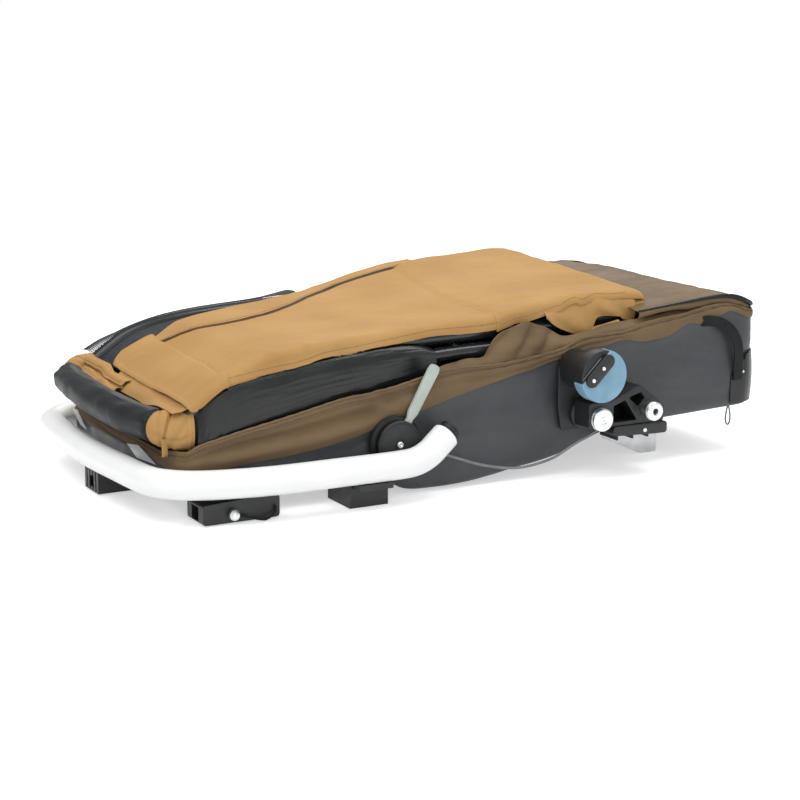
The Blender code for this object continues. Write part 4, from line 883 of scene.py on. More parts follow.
def buildTubBand():
    count = 620
    piece = sheetPiece("tubBand", bandSurface, count, 16, taffeta, 1.1 * mm, wrap=True)
    ridePiece(piece, "tub", "olive_fabric", "tub_band")
    declareCloth(piece, bandSurface, ["tub_shell"])
    hem = [bandSurface(i / count, 1.0) for i in range(count)]
    elastic = sweepPiece("bandElastic", hem, 2.3 * mm, taffeta, 10, closed=True,
                         taper=lambda share: 1 + 0.12 * sin(share * 900))
    ridePiece(elastic, "tub", "olive_fabric")
    tracks = [trackOn(bandSurface, [(min(i / 160, 0.99999), v) for i in range(161)]) for v in (0.8, 0.88)]
    ridePiece(stitchPiece("bandStitching", tracks, oliveThread), "tub", "olive_fabric")


buildTubBand()
print("tub and band made")


# Bumper: one bent tube and its ribbed plugs

bumper = {"tube": 0.045, "height": 0.065, "half": 0.308, "nose": -0.5448, "plug": 0.014}


def bumperPath():
    # centre line of one arm from its rear end to the nose: how far in from the arm, and how high
    arm = [(-0.06, 0.0135, 0.0345), (-0.0775, 0.009, 0.0225), (-0.0945, 0.0045, 0.0115),
           (-0.118, 0.001, 0.0025), (-0.15, 0.0, -0.0005), (-0.25, -0.001, 0.0), (-0.36, 0.002, 0.0),
           (-0.43, 0.014, 0.0), (-0.478, 0.03, 0.0), (-0.51, 0.054, 0.0), (-0.53, 0.09, 0.0)]
    half = [(x, inward - bumper["half"], bumper["height"] + rise) for x, inward, rise in arm]
    half += [(bumper["nose"] + 0.007, -0.14, bumper["height"]), (bumper["nose"], 0.0, bumper["height"])]
    return smoothPath(half + [(x, -y, z) for x, y, z in reversed(half[:-1])], 8)


def buildBumper():
    path = bumperPath()
    length = len(path)
    tube = sweepPiece("bumperTube", path, bumper["tube"] / 2, whiteCoat, 48)
    ridePiece(soften(tube, 1.4 * mm, 3, 60), "tub", "white_paint", "bumper")
    for name, side in sides:
        end, inner = (path[0], path[1]) if side < 0 else (path[length - 1], path[length - 2])
        along = (end - inner).normalized()
        profile = [(0, bumper["plug"] + 0.4 * mm)]
        profile += [(0.0165, bumper["plug"] + 0.4 * mm), (0.0185, bumper["plug"] - 1.2 * mm)]
        for groove in (0.68, 0.36):
            profile += [(0.0185, bumper["plug"] * (groove + 0.04)), (0.0168, bumper["plug"] * groove),
                        (0.0185, bumper["plug"] * (groove - 0.04))]
        profile += [(0.0185, 0.6 * mm), (0, 0.6 * mm)]
        plug = turnedPiece("bumperPlug_" + name, profile, end, along, blackNylon, 48, 0.4 * mm)
        ridePiece(plug, "tub", "black_plastic", "bumper_plug_" + name)


buildBumper()


# Suspension: bracket, arm, pivot cap, axle sleeve, blue pad and its clamp, mirrored to both sides

suspension = {"pivot": (0.204, 0.105), "hub": (0.294, 0.113), "arm": (0.2903, 0.0447), "plate": 0.006,
              "ledge": (0.229, 0.335, 0.0695, 0.089), "ledgeOuter": 0.338, "cap": 0.038, "flange": 0.031,
              "sleeve": 0.019, "bore": 0.0105, "pad": (0.192, 0.181), "padSize": (0.086, 0.026),
              "holder": 0.062, "slice": 0.022, "clampAngle": 44.5, "clampBar": (0.064, 0.0227, 0.0148)}


def roundedOutline(corners, radius, steps=5):
    made = []
    count = len(corners)
    for i in range(count):
        here = Vector(corners[i])
        before = (Vector(corners[i - 1]) - here).normalized()
        after = (Vector(corners[(i + 1) % count]) - here).normalized()
        reach = min(radius / tan(before.angle(after) / 2), 0.45 * (Vector(corners[i - 1]) - here).length,
                    0.45 * (Vector(corners[(i + 1) % count]) - here).length)
        for step in range(steps + 1):
            t = step / steps
            made.append(tuple((here + before * reach) * (1 - t) ** 2 + here * 2 * t * (1 - t)
                              + (here + after * reach) * t * t))
    return made


def circleOutline(x, z, radius, count=40):
    return [(x + radius * cos(2 * pi * i / count), z + radius * sin(2 * pi * i / count))
            for i in range(count)]


def screwHead(name, place, direction, radius, look):
    # a pan head with a socket for a driver
    profile = [(0, 0.25 * radius), (0.52 * radius, 0.25 * radius, 6),
               (0.52 * radius, 0.72 * radius, 6), (0.62 * radius, 0.78 * radius),
               (0.9 * radius, 0.6 * radius), (radius, 0.25 * radius), (radius, -0.3 * radius),
               (0, -0.3 * radius)]
    return turnedPiece(name, profile, place, direction, look, 36, 0.0)


def steelScrew(name, x, y, z, side, radius):
    ridePiece(screwHead(name, (x, side * y, z), (0, side, 0), radius, steel), "tub", "steel")


def buildBracket(name, side):
    s = suspension
    inner = tubHalf(s["ledge"][1]) + 0.3 * mm
    armInner, armThick = s["arm"]
    wall = roundedOutline([(0.166, 0.078), (0.335, 0.078), (0.335, 0.105), (0.3, 0.14), (0.232, 0.19),
                           (0.16, 0.19), (0.16, 0.12)], 0.01)
    parts = [platePiece("wall", [wall], side, inner, inner + s["plate"], blackNylon, 1.2 * mm)]
    front, rear, low, high = s["ledge"]
    ledge = roundedOutline([(front, low + 0.004), (rear - 0.02, low), (rear, low), (rear, high),
                            (front, high)], 0.006)
    parts.append(platePiece("ledge", [ledge], side, inner + 1 * mm, s["ledgeOuter"], blackNylon, 1.2 * mm))
    x, z = s["pivot"]
    boss = [(0, armInner - 0.3 * mm), (0.021, armInner - 0.3 * mm), (0.024, armInner - 3 * mm),
            (0.024, inner + 1 * mm), (0, inner + 1 * mm)]
    parts.append(turnedPiece("boss", boss, (x, 0, z), (0, side, 0), blackNylon))
    x, z = s["pad"]
    face = armInner + armThick + 1.9 * mm
    holder = [(0, face), (s["holder"] / 2 - 1 * mm, face), (s["holder"] / 2, face - 1 * mm),
              (s["holder"] / 2, inner + 1 * mm), (0, inner + 1 * mm)]
    parts.append(turnedPiece("holder", holder, (x, 0, z), (0, side, 0), blackNylon))
    for ribX in (0.246, 0.276, 0.306):  # ribs under the ledge
        parts.append(boxPiece("rib", (ribX - 1.5 * mm, min(side * (inner + 2 * mm), side * 0.325),
                                      low - 7 * mm),
                              (ribX + 1.5 * mm, max(side * (inner + 2 * mm), side * 0.325), low + 2 * mm),
                              blackNylon, 0.5 * mm))
    ridePiece(joined("suspensionBracket_" + name, parts), "tub", "black_plastic",
              "suspension_bracket_" + name)
    steelScrew("ledgeScrew_" + name, 0.29, s["ledgeOuter"], 0.0785, side, 3.6 * mm)


def buildArm(name, side):
    s = suspension
    armInner, armThick = s["arm"]
    armOuter = armInner + armThick
    low = s["ledge"][3] + 0.3 * mm
    outline = roundedOutline([(0.183, low), (0.331, low), (0.322, 0.122), (0.283, 0.153), (0.272, 0.15),
                              (0.228, 0.1325), (0.183, 0.1325)], 0.006)
    windows = [roundedOutline(corners, 0.002, 3)
               for corners in ([(0.2305, 0.096), (0.2765, 0.096), (0.253, 0.131), (0.2305, 0.1235)],
                               [(0.26, 0.1345), (0.2785, 0.1175), (0.2905, 0.1315), (0.2835, 0.1415)])]
    bores = [circleOutline(*s["pivot"], 0.0076), circleOutline(*s["hub"], s["sleeve"] / 2 + 0.6 * mm)]
    body = "arm_" + name
    arm = platePiece("swingArm_" + name, [outline] + bores + windows, side, armInner, armOuter, blackNylon,
                     1.0 * mm)
    ridePiece(arm, body, "black_plastic", "swing_arm_" + name)
    x, z = s["hub"]
    bore, flange, sleeve = s["bore"] / 2, s["flange"] / 2, s["sleeve"] / 2
    hub = [(bore, 0.0275), (bore + 1.6 * mm, 0.028), (flange - 2.4 * mm, 0.028), (flange, 0.0255),
           (flange, 0.0235), (flange - 0.6 * mm, 0.0232), (flange - 0.6 * mm, 0.0222), (flange, 0.0219),
           (flange, 0.0175), (sleeve + 3 * mm, 0.016), (sleeve + 3 * mm, 0.3 * mm), (sleeve, 0.3 * mm),
           (sleeve, -armThick), (bore, -armThick)]
    piece = turnedPiece("hubSleeve_" + name, [(r, armOuter + h) for r, h in hub], (x, 0, z), (0, side, 0),
                        steel, 72, 0.35 * mm)
    ridePiece(piece, body, "steel", "hub_sleeve_" + name)
    x, z = s["pivot"]
    cap = s["cap"] / 2
    profile = [(0, 0.0098), (2.4 * mm, 0.0098, 6), (2.4 * mm, 0.0112, 6), (4.6 * mm, 0.0112),
               (5.2 * mm, 0.0105), (6.2 * mm, 0.0105), (7.0 * mm, 0.0118), (cap - 2.5 * mm, 0.012),
               (cap - 0.6 * mm, 0.0108), (cap, 0.0092), (cap, 0.0064), (cap - 0.7 * mm, 0.006),
               (cap - 0.7 * mm, 0.0048), (cap, 0.0044), (cap, 0.3 * mm), (6.9 * mm, 0.3 * mm),
               (6.9 * mm, -armThick), (0, -armThick)]
    piece = turnedPiece("pivotCap_" + name, [(e[0], armOuter + e[1]) + e[2:] for e in profile], (x, 0, z),
                        (0, side, 0), steel, 72, 0.3 * mm)
    ridePiece(piece, "tub", "steel", "pivot_cap_" + name)


def buildPad(name, side):
    # the blue pad is a disc with a slice off its upper front; the clamp fills the slice and crosses the face
    s = suspension
    inner = sum(s["arm"]) + 2.2 * mm
    diameter, depth = s["padSize"]
    face = inner + depth
    radius, cut = diameter / 2, s["slice"]
    centre = Vector(s["pad"])
    angle = radians(s["clampAngle"])
    lean = Vector((cos(angle), sin(angle)))
    away = Vector((-lean.y, lean.x))
    first = atan2(cut, sqrt(radius * radius - cut * cut))

    def arc(start, sweep, reach, count, shift=0.0):
        made = []
        for step in range(count + 1):
            turn = angle + start + sweep * step / count
            made.append(tuple(centre + away * shift + Vector((cos(turn), sin(turn))) * reach))
        return made

    disc = platePiece("padDisc_" + name, [arc(first, -(pi + 2 * first), radius, 64)], side, inner, face,
                      urethane, 1.8 * mm)
    ridePiece(disc, "tub", "blue_rubber", "pad_" + name)
    inset = radians(2)
    lid = platePiece("lid", [arc(first + inset, pi - 2 * (first + inset), radius - 1 * mm, 40, 0.3 * mm)],
                     side, inner, face - 1 * mm, blackNylon, 1.0 * mm)
    barLength, barWidth, shift = s["clampBar"]
    bar = []
    for start, reach in ((-pi / 2, (barLength - barWidth) / 2), (pi / 2, (barWidth - barLength) / 2)):
        for step in range(17):
            turn = start + pi * step / 16
            bar.append(tuple(centre + lean * (reach + cos(turn) * barWidth / 2)
                             + away * (shift + sin(turn) * barWidth / 2)))
    strip = platePiece("strip", [bar], side, face + 0.3 * mm, face + 6 * mm, blackNylon, 1.4 * mm)
    low, high = cut + 1 * mm, cut + 3.5 * mm
    rootLine = [tuple(centre + lean * a + away * b)
                for a, b in ((-0.02, low), (0.02, low), (0.02, high), (-0.02, high))]
    root = platePiece("root", [rootLine], side, face - 3 * mm, face + 3 * mm, blackNylon, 0.4 * mm)
    ridePiece(joined("padClamp_" + name, [lid, strip, root]), "tub", "black_plastic", "pad_clamp_" + name)
    for number, reach in enumerate((-0.02, 0.006)):
        spot = centre + lean * reach + away * shift
        steelScrew("clampScrew_%s_%d" % (name, number + 1), spot.x, face + 5.9 * mm, spot.y, side, 3.3 * mm)
    # a thin pale grey cord along the edge of the lid: a painted highlight for the glint on that edge
    seam = [centre + lean * a + away * (shift + barWidth / 2 + 0.9 * mm) for a in (-0.03, 0.016)]
    line = sweepPiece("lidGlint_" + name, [(p.x, side * (face - 0.3 * mm), p.y) for p in seam], 0.8 * mm,
                      cableSleeve, 8)
    ridePiece(line, "tub", "black_plastic")


def buildFoot(name, side):
    front, rear = 0.3, 0.41
    outline = roundedOutline([(front, 0.036), (rear - 0.032, 0.0), (rear, 0.0),
                              (rear, tubBottom(rear) - 0.3 * mm), (front, tubBottom(front) - 0.3 * mm)],
                             0.003)
    ridePiece(platePiece("footPlate_" + name, [outline], side, 0.199, 0.203, aluminium, 0.6 * mm), "tub",
              "bare_aluminium", "foot_plate_" + name)


for sideName, sideSign in sides:
    buildBracket(sideName, sideSign)
    buildArm(sideName, sideSign)
    buildPad(sideName, sideSign)
    buildFoot(sideName, sideSign)
print("bumper and suspension made")


# Brake: housing of two discs, the lever between them and the cable

brake = {"place": (-0.134, 0.089), "back": 0.0085, "backDisc": 0.088, "coverDisc": 0.076, "cover": 0.006,
         "lever": 0.007, "reach": 0.138, "angle": 60.0, "hub": 0.034, "cable": 0.0044}
# The cable's way back below the tub's band: x, distance from the tub's wall, height
cableRoute = [(-0.06, 0.0073, 0.066), (-0.02, 0.0135, 0.051), (0.02, 0.0202, 0.038),
              (0.077, 0.0243, 0.0285), (0.135, 0.0283, 0.037), (0.175, 0.032, 0.057)]


def leverOutline():
    x, z = brake["place"]
    angle, hub, reach = radians(brake["angle"]), brake["hub"] / 2, brake["reach"]
    forward = Vector((cos(angle), sin(angle)))
    across = Vector((-forward.y, forward.x))
    right = [(hub * 0.92, -0.0068), (0.044, -0.0052), (0.054, -0.0085), (reach - 0.01, -0.0098),
             (reach - 0.004, -0.0085), (reach - 0.001, -0.0055)]
    points = [Vector((x, z)) + forward * a + across * b for a, b in right]
    points += [Vector((x, z)) + forward * reach]
    points += [Vector((x, z)) + forward * a - across * b for a, b in reversed(right)]
    opening = radians(24)
    for step in range(1, 28):
        turn = angle + opening + (2 * pi - 2 * opening) * step / 28
        points.append(Vector((x, z)) + Vector((cos(turn), sin(turn))) * hub)
    return [tuple(point) for point in points]


def buildBrake(name, side):
    b = brake
    x, z = b["place"]
    inner = tubHalf(x + b["backDisc"] / 2) + 0.3 * mm
    back = inner + b["back"]
    cover = back + b["lever"] + 0.6 * mm
    outer = cover + b["cover"]
    rim, edge = b["backDisc"] / 2, b["coverDisc"] / 2
    disc = [(0, outer - 1.2 * mm), (8 * mm, outer - 1.2 * mm), (9 * mm, outer), (edge - 5 * mm, outer),
            (edge - 4.4 * mm, outer - 0.7 * mm), (edge - 3.6 * mm, outer - 0.7 * mm),
            (edge - 3 * mm, outer), (edge - 1.4 * mm, outer), (edge, outer - 1.6 * mm), (edge, cover),
            (5.5 * mm, cover), (5.5 * mm, back), (rim - 3.4 * mm, back), (rim - 3 * mm, back - 0.8 * mm),
            (rim - 1.8 * mm, back - 0.8 * mm), (rim - 1 * mm, back), (rim, back - 1 * mm),
            (rim, inner + 1 * mm), (rim - 1 * mm, inner), (0, inner)]
    housing = turnedPiece("brakeHousing_" + name, disc, (x, 0, z), (0, side, 0), blackNylon, 96, 0.3 * mm)
    ridePiece(housing, "tub", "black_plastic", "brake_housing_" + name)
    steelScrew("brakeBolt_" + name, x, outer - 1.2 * mm, z, side, 5.6 * mm)
    lever = platePiece("brakeLever_" + name, [leverOutline(), circleOutline(x, z, 5.8 * mm, 24)], side,
                       back + 0.3 * mm, back + 0.3 * mm + b["lever"], leverNylon, 1.3 * mm)
    ridePiece(lever, "lever_" + name, "grey_lever", "brake_lever_" + name)
    start, lean = rim + 0.6 * mm, radians(-14)
    arm = suspension["arm"][0]
    route = [(x + start * cos(lean), inner + b["cable"], z + start * sin(lean))]
    route += [(px, tubHalf(px) + away, pz) for px, away, pz in cableRoute]
    route += [(0.221, arm + 0.0122, 0.0785), (0.2287, arm + 0.0122, 0.0785)]
    path = smoothPath([(px, side * py, pz) for px, py, pz in route], 10)
    ridePiece(sweepPiece("brakeCable_" + name, path, b["cable"] / 2, cableSleeve, 16), "tub",
              "black_plastic", "brake_cable_" + name)
    ferrule = [(0, 0.009), (0.003, 0.009), (0.0042, 0.007), (0.0042, -0.002), (0, -0.002)]
    for end, spot, ahead in (("front", path[1], path[3]), ("rear", path[-2], path[-5])):
        away = (ahead - spot).normalized()
        piece = turnedPiece("cableEnd_%s_%s" % (name, end), ferrule, spot, away, blackNylon, 24, 0.3 * mm)
        ridePiece(piece, "tub", "black_plastic")


for sideName, sideSign in sides:
    buildBrake(sideName, sideSign)
print("brakes made")


# Roof frame: its tubes, side tubes and hoop

frameTube = {"tube": 0.025, "half": 0.214, "sideTube": 0.022, "sideHalf": 0.225, "bar": 0.53}
frameLine = [(0.545, 0.2465), (0.3, 0.2465), (0.1, 0.2435), (0.0, 0.242), (-0.09, 0.24), (-0.16, 0.237),
             (-0.229, 0.234), (-0.294, 0.229), (-0.35, 0.22), (-0.396, 0.205), (-0.432, 0.183)]
noseLine = [(-0.459, 0.163), (-0.478, 0.147)]
sideTubeLine = [(0.12, 0.2155), (0.0, 0.215), (-0.102, 0.2095), (-0.191, 0.202), (-0.295, 0.191),
                (-0.345, 0.186), (-0.382, 0.177), (-0.408, 0.164), (-0.426, 0.147), (-0.434, 0.13)]
hoop = {"tube": 0.02, "half": 0.186, "pivot": 0.505, "length": 0.47, "drop": 0.031, "corner": 0.035}


def framePath(pieces):
    half = frameTube["half"]

    def oneSide(side):
        route = [(x, side * half, z) for x, z in frameLine]
        route += [(x, side * (half - inward), z) for (x, z), inward in zip(noseLine, (0.001, 0.012))]
        return route + [(-0.5, side * (half - 0.031), 0.1385), (-0.513, side * 0.115, 0.139)]

    return smoothPath(oneSide(-1) + [(-0.522, 0.0, 0.143)] + oneSide(1)[::-1], pieces)


def frameHeight(x):
    return curveAt(frameLine + noseLine, x)


def frameTop(x):
    # where the cloth lies on the frame's tubes
    slope = (frameHeight(x + 0.008) - frameHeight(x - 0.008)) / 0.016
    return frameHeight(x) + frameTube["tube"] / 2 * sqrt(1 + slope * slope) + 1.4 * mm


def sideTubePath(side, pieces):
    route = [Vector((x, side * frameTube["sideHalf"], z)) for x, z in sideTubeLine]
    return smoothPath(route + [route[-1] + (route[-1] - route[-2]).normalized() * 0.012], pieces)


def buildFrame():
    ridePiece(sweepPiece("roofFrameTube", framePath(8), frameTube["tube"] / 2, blackCoat, 28),
              "upper_frame", "black_frame", "roof_frame")
    reach = frameTube["half"] - frameTube["tube"] / 2 - 0.3 * mm
    z = frameHeight(frameTube["bar"])
    bar = [(frameTube["bar"], y * reach, z) for y in (-1, -0.5, 0, 0.5, 1)]
    ridePiece(sweepPiece("rearBarTube", bar, frameTube["tube"] / 2, blackCoat, 28), "upper_frame",
              "black_frame", "rear_bar")
    for name, side in sides:
        path = sideTubePath(side, 6)
        tube = sweepPiece("sideTube_" + name, path, frameTube["sideTube"] / 2, blackCoat, 24)
        ridePiece(tube, "upper_frame", "black_frame", "side_tube_" + name)
        screw = screwHead("sideTubeScrew_" + name, (-0.004, side * 0.2215, 0.2254), (0, side * 0.35, 0.94),
                          4.2 * mm, blackNylon)
        ridePiece(screw, "upper_frame", "black_plastic")

    def leg(side):
        h = hoop
        stub = frameTube["half"] - frameTube["tube"] / 2 - 0.3 * mm
        plan = [(0.0, stub), (0.0, stub - 0.006), (0.004, h["half"] + 0.004), (0.016, h["half"])]
        straight = h["length"] - h["corner"] - 0.016
        plan += [(h["length"] - h["corner"] - straight * share, h["half"]) for share in (0.66, 0.33, 0.0)]
        for step in range(1, 7):
            turn = radians(15 * step)
            plan.append((h["length"] - h["corner"] * (1 - sin(turn)),
                         h["half"] - h["corner"] * (1 - cos(turn))))
        top = frameHeight(h["pivot"])
        return [(h["pivot"] - forward, side * y, top - h["drop"] * forward / h["length"])
                for forward, y in plan]

    path = smoothPath(leg(-1) + leg(1)[::-1], 3)
    ridePiece(sweepPiece("rearHoopTube", path, hoop["tube"] / 2, blackCoat, 20), "hoop", "black_frame",
              "rear_hoop")


buildFrame()
print("frame tubes made")


# Pieces that keep their CAD shape and get a finer material

carried = [(aluminium, ("rail_near", "rail_far", "front_cross_tube", "rear_cross_tube")),
           (blackNylon, ("floor_panel", "tow_receiver", "front_wheel_mount", "bumper_bracket_near",
                         "bumper_bracket_far")),
           (blackCoat, ("hinge_bracket_near", "hinge_bracket_far")),
           (steel, ("tow_pin",)),
           (wire, ("zip_pull",))]
for look, nodeNames in carried:
    for nodeName in nodeNames:
        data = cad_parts[nodeName].data
        data.materials.clear()
        data.materials.append(look)


# Side panels: foam and coated cloth over the side tube, from under the gold edge down behind the band

# Upper edge, ridge and lower edge in side view (x, z), from the hinge up and back along the tube
panelRows = [((-0.457, 0.108), (-0.446, 0.104), (-0.441, 0.098)),
             ((-0.46, 0.13), (-0.444, 0.123), (-0.434, 0.1)),
             ((-0.459, 0.152), (-0.434, 0.14), (-0.424, 0.103)),
             ((-0.45, 0.172), (-0.42, 0.157), (-0.411, 0.106)),
             ((-0.431, 0.188), (-0.405, 0.173), (-0.396, 0.109)),
             ((-0.405, 0.202), (-0.387, 0.184), (-0.38, 0.112)),
             ((-0.37, 0.211), (-0.362, 0.193), (-0.358, 0.117)),
             ((-0.324, 0.218), (-0.319, 0.199), (-0.318, 0.126)),
             ((-0.275, 0.226), (-0.272, 0.206), (-0.27, 0.137)),
             ((-0.235, 0.2315), (-0.233, 0.211), (-0.232, 0.146)),
             ((-0.19, 0.236), (-0.188, 0.215), (-0.187, 0.153)),
             ((-0.142, 0.239), (-0.14, 0.219), (-0.14, 0.161)),
             ((-0.1, 0.239), (-0.1, 0.221), (-0.1, 0.169)),
             ((-0.07, 0.235), (-0.068, 0.222), (-0.066, 0.176)),
             ((-0.052, 0.228), (-0.048, 0.221), (-0.044, 0.181))]
sidePanel = {"innerY": 0.2235, "ridgeY": 0.2395, "bellyY": 0.2415, "hemY": 0.2385}


def sidePanelSurface(side):
    upper, ridge, lower = ([Vector((row[k][0], 0, row[k][1])) for row in panelRows] for k in range(3))
    upper, ridge, lower = (smoothPath(line, 14) for line in (upper, ridge, lower))

    def surface(u, v):
        # v from the inner top, over the ridge, down to the lower edge
        a, b, c = (spotOn(line, u)[1] for line in (upper, ridge, lower))
        p = sidePanel
        if v < 0.35:
            share = v / 0.35
            turn = pi / 2 * share
            point = a.lerp(b, 0.6 * share + 0.4 * (1 - cos(turn)))
            point.y = p["innerY"] + (p["ridgeY"] - p["innerY"]) * (0.6 * share + 0.4 * sin(turn))
        else:
            share = (v - 0.35) / 0.65
            point = b.lerp(c, share)
            point.y = between(p["ridgeY"], p["hemY"], share)
            point.y += (p["bellyY"] - p["ridgeY"]) * sin(pi * share) ** 0.7
            point.y += 3.0 * mm * waver(point.x * 0.5, 0.0, point.z * 0.5, 0.07) * sin(pi * share)
        point.y += 0.6 * mm * waver(point.x * 0.5, v, point.z, 0.03)
        return Vector((point.x, side * point.y, point.z))

    return surface


def buildSidePanels():
    for name, side in sides:
        panel = sheetPiece("sidePanel_" + name, sidePanelSurface(side), 220, 48, padCloth, 1.6 * mm)
        ridePiece(panel, "upper_frame", "coated_fabric", "side_panel_" + name)


buildSidePanels()


# Front roll and the canvas cuffs at its ends

roll = {"diameter": 0.052, "line": [(-0.5, -0.186, 0.139), (-0.517, -0.1, 0.141), (-0.5235, 0.0, 0.145),
                                    (-0.52, 0.1, 0.147), (-0.51, 0.194, 0.149)]}
# Centre, radius and half height of each section, from the roll's end round the corner to the side panel
cuffs = {
    "near": [((-0.5, -0.18, 0.137), 0.0235, 0.024), ((-0.496, -0.189, 0.1365), 0.025, 0.0285),
             ((-0.488, -0.198, 0.136), 0.0262, 0.0305), ((-0.477, -0.206, 0.1355), 0.0262, 0.0315),
             ((-0.466, -0.2105, 0.1355), 0.025, 0.0315), ((-0.457, -0.2125, 0.136), 0.0225, 0.03)],
    "far": [((-0.503, 0.184, 0.15), 0.02, 0.023), ((-0.499, 0.193, 0.151), 0.0225, 0.026),
            ((-0.492, 0.2, 0.152), 0.024, 0.0285), ((-0.483, 0.206, 0.153), 0.025, 0.0295),
            ((-0.471, 0.2105, 0.153), 0.025, 0.0295), ((-0.459, 0.2125, 0.153), 0.0225, 0.027)]}


def tubeSurface(path, radius, shape):
    # shape(u, v) adds to the radius of a tube round the path; v runs round it from the top
    def surface(u, v):
        i, centre = spotOn(path, u)
        ahead = (path[min(i + 2, len(path) - 1)] - path[max(i - 1, 0)]).normalized()
        up = (Vector((0, 0, 1)) - ahead * ahead.z).normalized()
        side = ahead.cross(up)
        turn = 2 * pi * v
        return centre + (up * cos(turn) + side * sin(turn)) * (radius + shape(u, v, centre))

    return surface


def closedTube(name, surface, columns, rows, look):
    points = [surface(i / columns, j / rows) for i in range(columns + 1) for j in range(rows)]
    faces = gridFaces(columns + 1, rows, wrapColumns=True)
    faces += [tuple(range(rows)), tuple(range((columns + 1) * rows - 1, columns * rows - 1, -1))]
    return outward(addPiece(name, points, faces, look))


def crush(piece):
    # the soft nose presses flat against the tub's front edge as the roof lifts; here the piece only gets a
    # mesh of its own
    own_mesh(piece)


def buildRoll():
    path = smoothPath(roll["line"], 12)

    def shape(u, v, centre):
        ends = min(u, 1 - u)
        gather = -5.5 * mm * (1 - ease(ends, 0.0, 0.03))
        gather += 0.7 * mm * sin(2 * pi * v * 9) * (1 - ease(ends, 0.01, 0.1))
        slack = 2.4 * mm * waver(centre.y, v * 0.3 + 0.1 * sin(2 * pi * v), 0.0, 0.09)
        tucks = 1.6 * mm * waver(centre.y * 0.8 + v * 0.12, v * 0.25, 4.0, 0.03)
        return gather + slack + tucks - 1.0 * mm * bulge(v, 0.3, 0.008)

    surface = tubeSurface(path, roll["diameter"] / 2, shape)
    piece = closedTube("frontRoll", surface, 170, 60, rollCloth)
    ridePiece(piece, "upper_frame", "coated_fabric", "front_roll")
    piping = sweepPiece("frontRollPiping", [surface(u / 80, 0.3) for u in range(3, 78)], 1.5 * mm,
                        rollCloth, 10)
    ridePiece(piping, "upper_frame", "coated_fabric")
    crush(piece)
    crush(piping)


def cuffSurface(name):
    rings = cuffs[name]
    centres = smoothPath([ring[0] for ring in rings], 10)
    count = len(centres) - 1

    def surface(u, v):
        i, centre = spotOn(centres, u)
        ahead = centres[min(i + 3, count)] - centres[max(i - 2, 0)]
        side = Vector((ahead.y, -ahead.x, 0)).normalized()
        share = u * (len(rings) - 1)
        k = min(int(share), len(rings) - 2)
        across, high = (between(rings[k][m], rings[k + 1][m], share - k) for m in (1, 2))
        turn = 2 * pi * v
        folds = 1.5 * mm * waver(u * 0.05, cos(turn) * 0.03, sin(turn) * 0.03, 0.022) * sin(pi * u)
        crease = -5.0 * mm * bulge(u, 0.42 + 0.08 * cos(turn), 0.022) + 1.0 * mm * bulge(u, 0.06, 0.04)
        crease -= 2.4 * mm * bulge(u, 0.66 + 0.22 * cos(turn), 0.06) - 1.8 * mm * ease(u, 0.8, 0.83)
        crease -= 2.6 * mm * bulge(u, 0.22 - 0.1 * cos(turn + 0.8), 0.05)
        crease -= 2.8 * mm * bulge(abs(v - 0.5), 0.205 + 0.03 * sin(7 * u + 1), 0.022) * sin(pi * u)
        reach = 1 + (folds + crease) / across
        return centre + (Vector((0, 0, 1)) * cos(turn) * high + side * sin(turn) * across) * reach

    return surface


def buildCuffs():
    for name, side in sides:
        surface = cuffSurface(name)
        piece = closedTube("cornerCuff_" + name, surface, 64, 72, canvas)
        canvasPiece(piece, "corner_cuff_" + name)
        first, last = (0.1, 0.45) if side < 0 else (0.55, 0.9)
        tracks = [trackOn(surface, [(u, v / 24) for v in range(25)]) for u in (0.1, 0.9)]
        tracks.append(trackOn(surface, [(0.45, first + (last - first) * k / 12) for k in range(13)]))
        stitches = stitchPiece("cornerCuffStitching_" + name, tracks, brownThread, lift=0.4 * mm)
        canvasPiece(stitches)
        middle = surface(0.4, 0.33 if side < 0 else 0.67)
        tab = [middle + Vector((-0.001, 0.0005 * side, 0.002 - 0.0055 * k)) for k in range(6)]
        tabPiece = sweepPiece("cuffTab_" + name, tab, 5.5 * mm, canvas, 16, flatten=0.3,
                              lean=(0.2, side, 0.0))
        canvasPiece(tabPiece)
        for part in (piece, stitches, tabPiece):
            crush(part)


buildRoll()
buildCuffs()
print("padded pieces made")


# Folded canvas on the roof frame: two layers in front, a thicker folded pile behind the cross seam

cloth = {"near": -0.236, "width": 0.498, "upper": (-0.425, 0.125), "lower": (-0.45, 0.2),
         "farStrip": (-0.405, 0.16), "pile": (-0.232, 0.262), "tuck": (0.158, 0.336), "inner": (0.238, 0.3)}
# x, z of the tucked fold's edge
tuckLine = [(0.158, 0.26), (0.172, 0.248), (0.197, 0.2345), (0.22, 0.2255), (0.238, 0.2215), (0.245, 0.236),
            (0.256, 0.252), (0.304, 0.2505), (0.312, 0.245), (0.332, 0.2425), (0.35, 0.2545)]
# x and height above the frame's tubes, along the near and the far edge of the canvas
pileNear = [(-0.47, 0.0045), (-0.2, 0.005), (-0.1, 0.006), (-0.024, 0.008), (0.054, 0.012), (0.12, 0.0175),
            (0.187, 0.027), (0.262, 0.029), (0.3, 0.027), (0.34, 0.023), (0.375, 0.018)]
pileFar = [(-0.47, 0.0045), (-0.2, 0.006), (-0.05, 0.012), (0.1, 0.03), (0.22, 0.038), (0.34, 0.044),
           (0.375, 0.042)]
